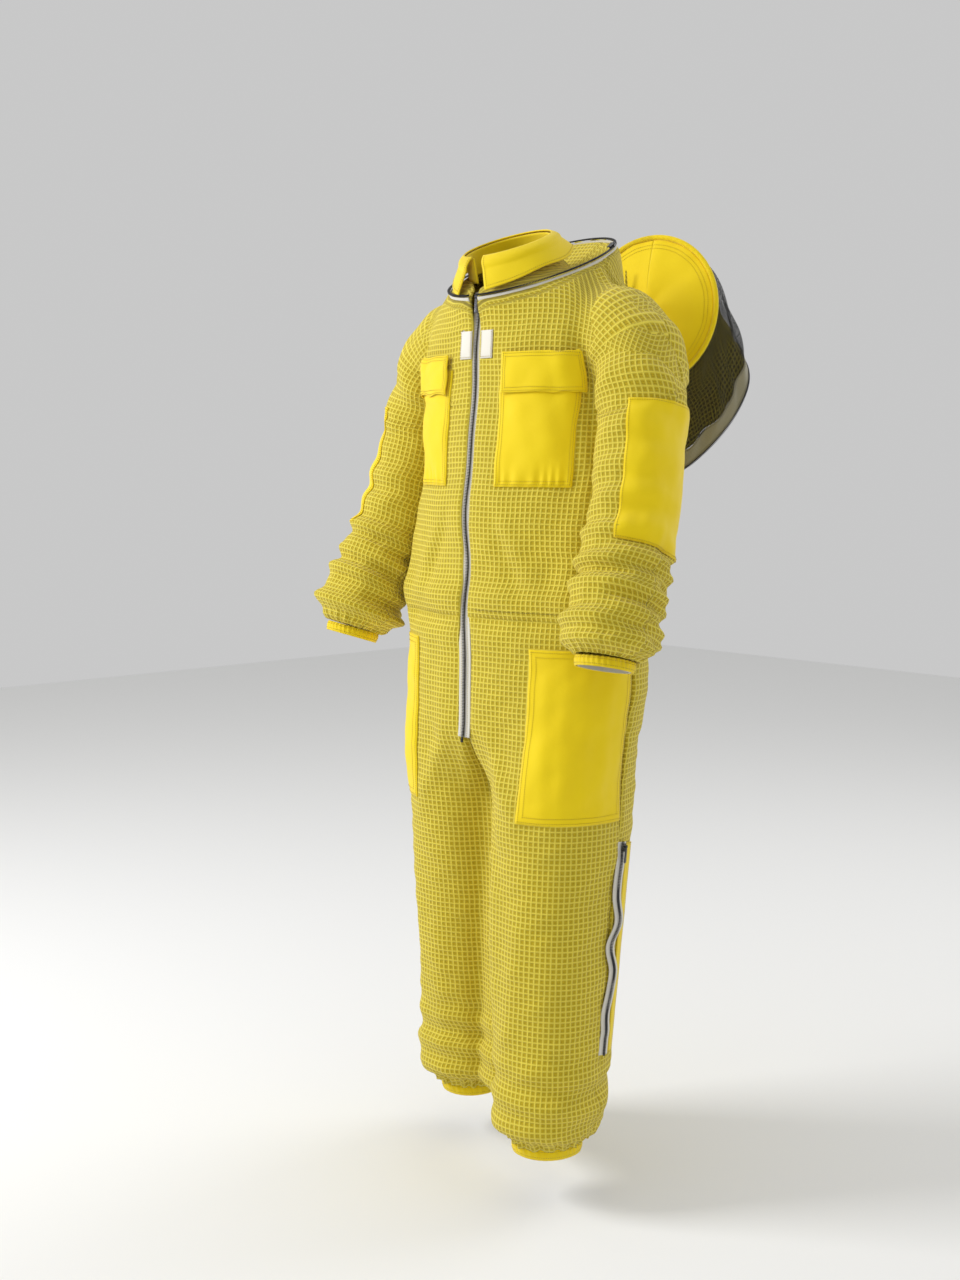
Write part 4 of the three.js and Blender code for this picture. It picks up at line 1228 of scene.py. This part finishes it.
# Collar.
def makeCollar():
    stand = cornersOf("collar_stand")
    fall = cornersOf("collar_fall")
    tilt = ringSlope - math.radians(1)
    up = np.array([0, -math.sin(tilt), math.cos(tilt)])
    back = np.array([0, math.cos(tilt), math.sin(tilt)])
    across = np.array([1.0, 0, 0])

    def measure(points):
        height = points @ up
        bottom, top = points[height < height.min() + 0.006], points[height > height.max() - 0.006]
        return [
            (np.abs(part @ across).max(), (part @ back).min(), (part @ back).max(), (part @ up).mean())
            for part in (bottom, top)
        ]

    (footWide, footFront, footBack, footUp), (topWide, topFront, topBack, topUp) = measure(stand)
    (fallWide, fallFront, fallBack, fallUp), (foldWide, foldFront, foldBack, foldUp) = measure(fall)
    openTurn = 0.17
    turns = np.linspace(openTurn, math.tau - openTurn, 190)

    def ring(wide, fore, rear, level):
        middle, half = (fore + rear) / 2, (rear - fore) / 2
        return (
            np.sin(turns)[:, None] * wide * across
            + (middle - half * np.cos(turns))[:, None] * back
            + np.broadcast_to(np.asarray(level), turns.shape)[:, None] * up
        )

    foot, top = (footWide, footFront, footBack), (topWide, topFront, topBack)
    tall = topUp + 0.002 - footUp + 0.004
    standGrid = np.array([
        ring(*[a + (b - a) * s for a, b in zip(foot, top)], footUp - 0.004 + tall * s)
        for s in np.linspace(0, 1, 14)
    ])
    clothPiece("collarStand", "collar_stand", standGrid, thickness["stand"], True, "cotton")
    toFront = np.exp(-((np.minimum(turns, math.tau - turns) / 0.6) ** 2))
    flat = turns.copy()
    rows = []
    for s in np.linspace(0, 1, 32):
        girth = math.tau - 2 * openTurn
        turns = openTurn + 0.14 * s + (flat - openTurn) / girth * (girth - 0.28 * s)  # the wings draw apart
        roll = 0.0035 * math.sin(math.pi * min(s * 2.2, 1))  # a soft fold at the top, then a straight fall
        wave = 0.002 * s * np.sin(flat * 6 + 0.7) + 0.002 * s * np.sin(flat * 3 + 1.1)
        level = foldUp + 0.004 - (foldUp - fallUp + 0.002) * s**1.1 + wave - 0.016 * toFront * s**1.5
        spread = 0.012 * toFront * s
        line = ring(
            foldWide + (fallWide - foldWide) * s + roll,
            foldFront + (fallFront - foldFront) * s - roll,
            foldBack + (fallBack - foldBack) * s + roll,
            level,
        )
        line += back * (-spread)[:, None]
        rows.append(line)
    fallGrid = np.array(rows)
    clothPiece("collarFall", "collar_fall", fallGrid, thickness["fall"], False, "cotton")
    away = -normalsOf(fallGrid)
    if (away[10, 95] @ back) < 0:
        away = -away
    stitchLines.extend(edgeStitches(fallGrid, away, (0.004,), "tlr"))


makeCollar()
print("collar folded")


# Zips.
def tapeStrip(name, line, outward, sideways, inner, outer, node):
    steps = np.linspace(inner, outer, 7)
    grid = np.array([[p + s * w for w in steps] for p, s in zip(line, sideways)])
    facing = (normalsOf(grid)[len(grid) // 2, 3] @ outward[len(grid) // 2]) > 0
    clothPiece(name, node, grid, thickness["tape"], facing, "zip_tape", held="laid")


def frontZip():
    heights = np.linspace(frontHigh.z - 0.001, frontLow.z + 0.001, 220)
    share = (heights - frontLow.z) / (frontHigh.z - frontLow.z)
    teeth = cornersOf("front_teeth")
    topY = teeth[teeth[:, 2] > frontHigh.z - 0.004, 1].mean()
    endY = teeth[teeth[:, 2] < frontLow.z + 0.004, 1].mean()
    y = endY + (topY - endY) * share - closureSwell(heights)
    line = np.stack([closureWave(heights), y, heights], -1)
    outward = np.repeat([[0, -1.0, 0.05]], len(line), 0)
    sideways = np.repeat([[1.0, 0, 0]], len(line), 0)
    tapeLine = line + [0, 0.0026, 0]
    for side, sign in (("left", 1), ("right", -1)):
        name, node = f"frontTape{side.capitalize()}", f"front_tape_{side}"
        tapeStrip(name, tapeLine, outward, sideways, sign * closure["split"], sign * closure["tape"], node)
    runPiece("frontTeeth", [(line, outward)], tooth, materials["teeth"], "suit", ["front_teeth"])
    for shift in (-closure["stitch"], closure["stitch"]):
        stitchLines.append((tapeLine + [shift, -0.0005, 0], outward))


frontZip()


legZipShape = {"sway": 0.0075, "heave": 0.004, "behind": 0.0022, "halfTape": 0.011, "facing": (0.010, 0.046)}


def legZip(side):
    teeth = cornersOf(f"leg_teeth_{side}")
    height = teeth[:, 2]
    top, end = teeth[height > height.max() - 0.003].mean(0), teeth[height < height.min() + 0.003].mean(0)
    tape = cornersOf(f"leg_tape_{side}")
    level = tape[np.abs(tape[:, 2] - tape[:, 2].mean()) < 0.2]
    out = (top + end) / 2 - level.mean(0)
    way = unit(top - end)
    out = unit(out - way * (out @ way))
    across = np.cross(way, out)
    if across[1] < 0:
        across = -across
    share = np.linspace(0, 1, 130)[:, None]
    still = np.sin(np.pi * np.clip((share - 0.06) / 0.86, 0, 1)) ** 0.7
    sway = legZipShape["sway"] * still * np.sin(share * 21 + 0.5)
    heave = legZipShape["heave"] * still * (0.6 + 0.4 * np.sin(share * 34 + 1))
    line = top + (end - top) * share + across * sway + out * heave
    outward = np.repeat(out[None, :], len(line), 0)
    sideways = np.repeat(across[None, :], len(line), 0)
    label = side.capitalize()
    tapeLine = line - out * legZipShape["behind"]
    half = legZipShape["halfTape"]
    tapeStrip(f"legTape{label}", tapeLine, outward, sideways, -half, half, f"leg_tape_{side}")
    runPiece(f"legTeeth{label}", [(line, outward)], tooth, materials["teeth"], "suit",
             [f"leg_teeth_{side}"])
    facing = treeOf(f"leg_facing_{side}")
    grid = []
    for s, mid in zip(share[:, 0], tapeLine):
        row = []
        for w in np.linspace(*legZipShape["facing"], 12):
            start = top + (end - top) * s + across * (w + 0.3 * (mid - top - (end - top) * s) @ across)
            row.append(np.array(facing.find_nearest(Vector(start))[0]) + out * 0.0012)
        grid.append(row)
    grid = blur(blur(np.array(grid), 6, 0), 2, 1)
    turn = (normalsOf(grid)[60, 6] @ out) > 0
    clothPiece(f"legFacing{label}", f"leg_facing_{side}", grid, thickness["patch"], turn, "cotton")
    stitchLines.extend(edgeStitches(grid, normalsOf(grid) * (1 if turn else -1), (0.003,)))


for side in sides:
    legZip(side)


def neckZip():
    gapTurn = 0.075
    turns = np.linspace(gapTurn, math.tau - gapTurn, 300)
    line = ringPoint(turns, ringRadius, 0.0002)
    outward = np.repeat(np.array([[0, -math.sin(ringSlope), math.cos(ringSlope)]]), len(turns), 0)
    runPiece("neckTeeth", [(line, outward)], tooth, materials["teeth"], "suit", ["neck_teeth"])
    hems = ((-0.010, 0.0), (-0.0075, 0.0006), (-0.005, 0.0008), (-0.003, 0.0004))
    grid = np.array([ringPoint(turns, ringRadius + swell, lift) for lift, swell in hems])
    clothPiece("neckTape", "neck_tape", grid, thickness["ring"], True, "zip_tape", held="laid")


neckZip()


# Sliders, pulls and the stop keep the frame's shape, with their edges eased.
def easeEdges(node):
    source = frame["nodes"][node]
    mesh = source.data.copy()
    piece = addObject(node + "Eased", mesh)
    piece.modifiers.new("weld", "WELD").merge_threshold = samePlace
    bevel = piece.modifiers.new("ease", "BEVEL")
    bevel.width = 0.0004
    bevel.segments = 2
    bevel.limit_method = "ANGLE"
    mesh.materials.clear()
    mesh.materials.append(materials["zip_metal"])
    giveTo(piece, source["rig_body"], [node])


for node in ("front_slider", "front_pull", "front_stop"):
    easeEdges(node)
for limb in ("neck", "leg"):
    for side in sides:
        easeEdges(f"{limb}_{side}_slider")
        easeEdges(f"{limb}_{side}_pull")
for limb in ("wrist", "ankle"):
    for side in sides:
        slots = frame["nodes"][f"{limb}_{side}_elastic"].data.materials
        slots.clear()
        slots.append(materials["elastic"])
print("zips closed")


# Hood, turned back behind the shoulders.
hood = {"domeRows": 40, "columns": 192, "belly": 0.016, "wire": 0.0045, "fold": 0.8, "tuck": 0.02,
        "slack": (0.007, 0.004)}
hemPoints = [(0, 428, -84), (84, 424, -100), (132, 392, -152), (118, 356, -226), (60, 322, -294),
             (0, 308, -312)]


def hoodFrame():
    hoop = cornersOf("hood_hoop")
    centre = (hoop.max(0) + hoop.min(0)) / 2
    ways = np.linalg.eigh(np.cov((hoop - centre).T))[1]
    facing = ways[:, 0] * (1 if ways[1, 0] < 0 else -1)  # out of the dome, towards the front
    up = unit(np.array([0, 0, 1.0]) - facing * facing[2])
    side = np.cross(up, facing)
    side *= 1 if side[0] > 0 else -1
    flat = hoop - centre
    radius = float(np.hypot(flat @ up, flat @ side).mean())
    return centre, facing, up, side, radius


hoodCentre, hoodOut, hoodUp, hoodSide, hoopRadius = hoodFrame()


def rimPoints(turns, radius, depth):
    return (
        hoodCentre
        + (np.sin(turns) * radius)[:, None] * hoodSide
        + (np.cos(turns) * radius)[:, None] * hoodUp
        + np.broadcast_to(np.asarray(depth), turns.shape)[:, None] * hoodOut
    )


def hemLine(turns):
    half = np.array(hemPoints) / 1000
    loop = np.vstack([half, half[-2:0:-1] * [-1, 1, 1]])
    count = len(loop)
    share = np.mod(turns / math.tau * count, count)
    i = np.floor(share).astype(int)
    t = (share - i)[:, None]
    a, b, c, d = (loop[(i + k) % count] for k in (-1, 0, 1, 2))
    return 0.5 * (2 * b + (c - a) * t + (2 * a - 5 * b + 4 * c - d) * t**2 + (3 * b - a - 3 * c + d) * t**3)


def makeDome():
    turns = np.linspace(0, math.tau, hood["columns"] + 1)
    rows = []
    for share in np.linspace(0.01, 1, hood["domeRows"]):
        wave = 0.0018 * np.sin(turns * 5 + 1) * share * (1 - share) * 4
        wave += 0.0008 * np.sin(turns * 13) * share**3
        rows.append(rimPoints(turns, (hoopRadius - 0.004) * share, 0.014 * (1 - share**2.2) + wave))
    grid = np.array(rows)
    flat = np.stack([(grid - hoodCentre) @ hoodSide, (grid - hoodCentre) @ hoodUp], -1)
    facing = (normalsOf(grid)[20, 40] @ hoodOut) > 0
    thick = thickness["crown"]
    clothPiece("hoodCrown", "hood_crown", grid, thick, facing, "cotton", "hood", "stretched", flat)
    ways = np.repeat(hoodOut[None, :], grid.shape[1], 0)
    lines = [(grid[row] + hoodOut * 0.0003, ways) for row in (36, 34)]
    runPiece("crownStitches", lines, stitch, seamThread, "hood")


# The hoop: a covered wire round the crown's edge.
def makeHoop():
    turns = np.arange(200) / 200 * math.tau
    around = np.linspace(0, math.tau, 13)[:-1]
    wire = hood["wire"]
    rows = []
    for turn in around:
        radius = hoopRadius + wire * math.cos(turn)
        rows.append(rimPoints(turns, radius, wire * math.sin(turn) + 0.0003 * np.sin(turns * 60)))
    grid = np.array(rows + rows[:1])
    centre = rimPoints(turns, hoopRadius, 0.0)
    facing = (normalsOf(grid, True)[2, 50] @ (grid[2, 50] - centre[50])) > 0
    clothPiece("hoodHoop", "hood_hoop", grid, 0, facing, "cotton", "hood", None, wrap=True)


def veilRows(turns, shares):
    rim = hood["slack"]
    hem = hemLine(turns)
    rows = []
    for share in shares:
        belly = hood["belly"] * math.sin(math.pi * share)
        top = rimPoints(turns, hoopRadius + belly, -0.005)
        slack = rim[0] * math.sin(math.pi * min(share, 1)) * np.sin(turns * 9 + 4 * share)
        slack = slack + rim[1] * math.sin(math.pi * share) * np.sin(turns * 17 + 2 - 5 * share)
        row = top + (hem - top) * share
        rows.append(row + unit(row - row.mean(0)) * slack[:, None])
    return np.array(rows)


def makeVeil():
    fold = hood["fold"]
    shares = np.linspace(0, fold, 64)
    wall = thickness["hoodMesh"]
    halves = (("hoodVeil", "hood_veil", 0, math.pi, "veil_net", None, 0.0),
              ("hoodBack", "hood_back", 0.1 * math.pi, math.tau, "mesh_fabric", hoodFabric, wall))
    for name, node, start, end, slotName, material, thick in halves:
        turns = np.linspace(start, end, 130 if thick == 0 else 240)
        grid = veilRows(turns, shares)
        if thick:  # the mesh half runs on round, folded in behind the net
            tuck = hood["tuck"] * np.clip((math.pi - turns) / 0.5, 0, 1)[None, :]
            tuck = tuck * np.sin(np.pi * np.clip(shares / fold, 0.05, 0.97))[:, None]
            grid = grid - unit(grid - grid.mean(1, keepdims=True)) * tuck[..., None]
        centre = veilRows(np.linspace(0, math.tau, 60), [0.4])[0].mean(0)
        facing = (normalsOf(grid)[30, 65] @ (grid[30, 65] - centre)) > 0
        clothPiece(name, node, grid, thick, facing, slotName, "hood", material=material)
    turns = np.linspace(0, math.tau, 240)
    grid = veilRows(turns, np.linspace(fold - 0.01, 1, 14))
    centre = grid[5].mean(0)
    away = unit(grid - centre)
    grid = grid + away * 0.0012
    facing = (normalsOf(grid)[6, 60] @ (grid[6, 60] - centre)) > 0
    clothPiece("hoodHem", "hood_hem", grid, thickness["hem"], facing, "hem_cloth", "hood")
    hemTooth = {**tooth, "Size": (0.003, 0.0015, 0.003)}
    runPiece("hemTeeth", [(grid[-1], away[-1])], hemTooth, materials["teeth"], "hood")
    lines = [(grid[row] + away[row] * 0.0005, away[row]) for row in (1, 11)]
    runPiece("hemStitches", lines, stitch, darkThread, "hood")


def makeHoodPanel():
    tree = treeOf("hood_panel")
    low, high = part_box("hood_panel")
    grid = []
    for share in np.linspace(0.0, 1, 60):
        row = []
        for across in np.linspace(low.x, high.x, 30):
            y = low.y + 0.004 + (high.y - low.y - 0.010) * share
            hit = tree.ray_cast(Vector((across, y, high.z + 0.2)), Vector((0, 0, -1)))[0]
            z = hit.z if hit else high.z
            row.append((across, y, z + 0.0015 * math.sin(across * 160 + share * 8)))
        grid.append(row)
    grid = blur(blur(np.array(grid), 4, 0), 3, 1)
    facing = normalsOf(grid)[20, 15, 2] > 0
    clothPiece("hoodPanel", "hood_panel", grid, thickness["yoke"], facing, body="hood")


makeDome()
makeHoop()
makeVeil()
makeHoodPanel()
print("hood turned back")

# Stitched seams.
waistLine = torsoGrid[3]
waistWay = normalsOf(torsoGrid, True)[3] * (1 if outside else -1)
seen = slice(4, quarter + 6)
waistRun = [(waistLine[seen] + waistWay[seen] * 0.0006, waistWay[seen])]
runPiece("waistStitches", waistRun, stitch, darkThread, "suit")
runPiece("seamStitches", stitchLines, stitch, seamThread, "suit")

ground = {"level": -1.47, "half": 6}
floor = bpy.data.meshes.new("floor")
square = ((-1, -1), (1, -1), (1, 1), (-1, 1))
corners = [(x * ground["half"], y * ground["half"], ground["level"]) for x, y in square]
floor.from_pydata(corners, [], [(0, 1, 2, 3)])
floor.materials.append(floorMaterial)
addObject("floor", floor)

print("finished")
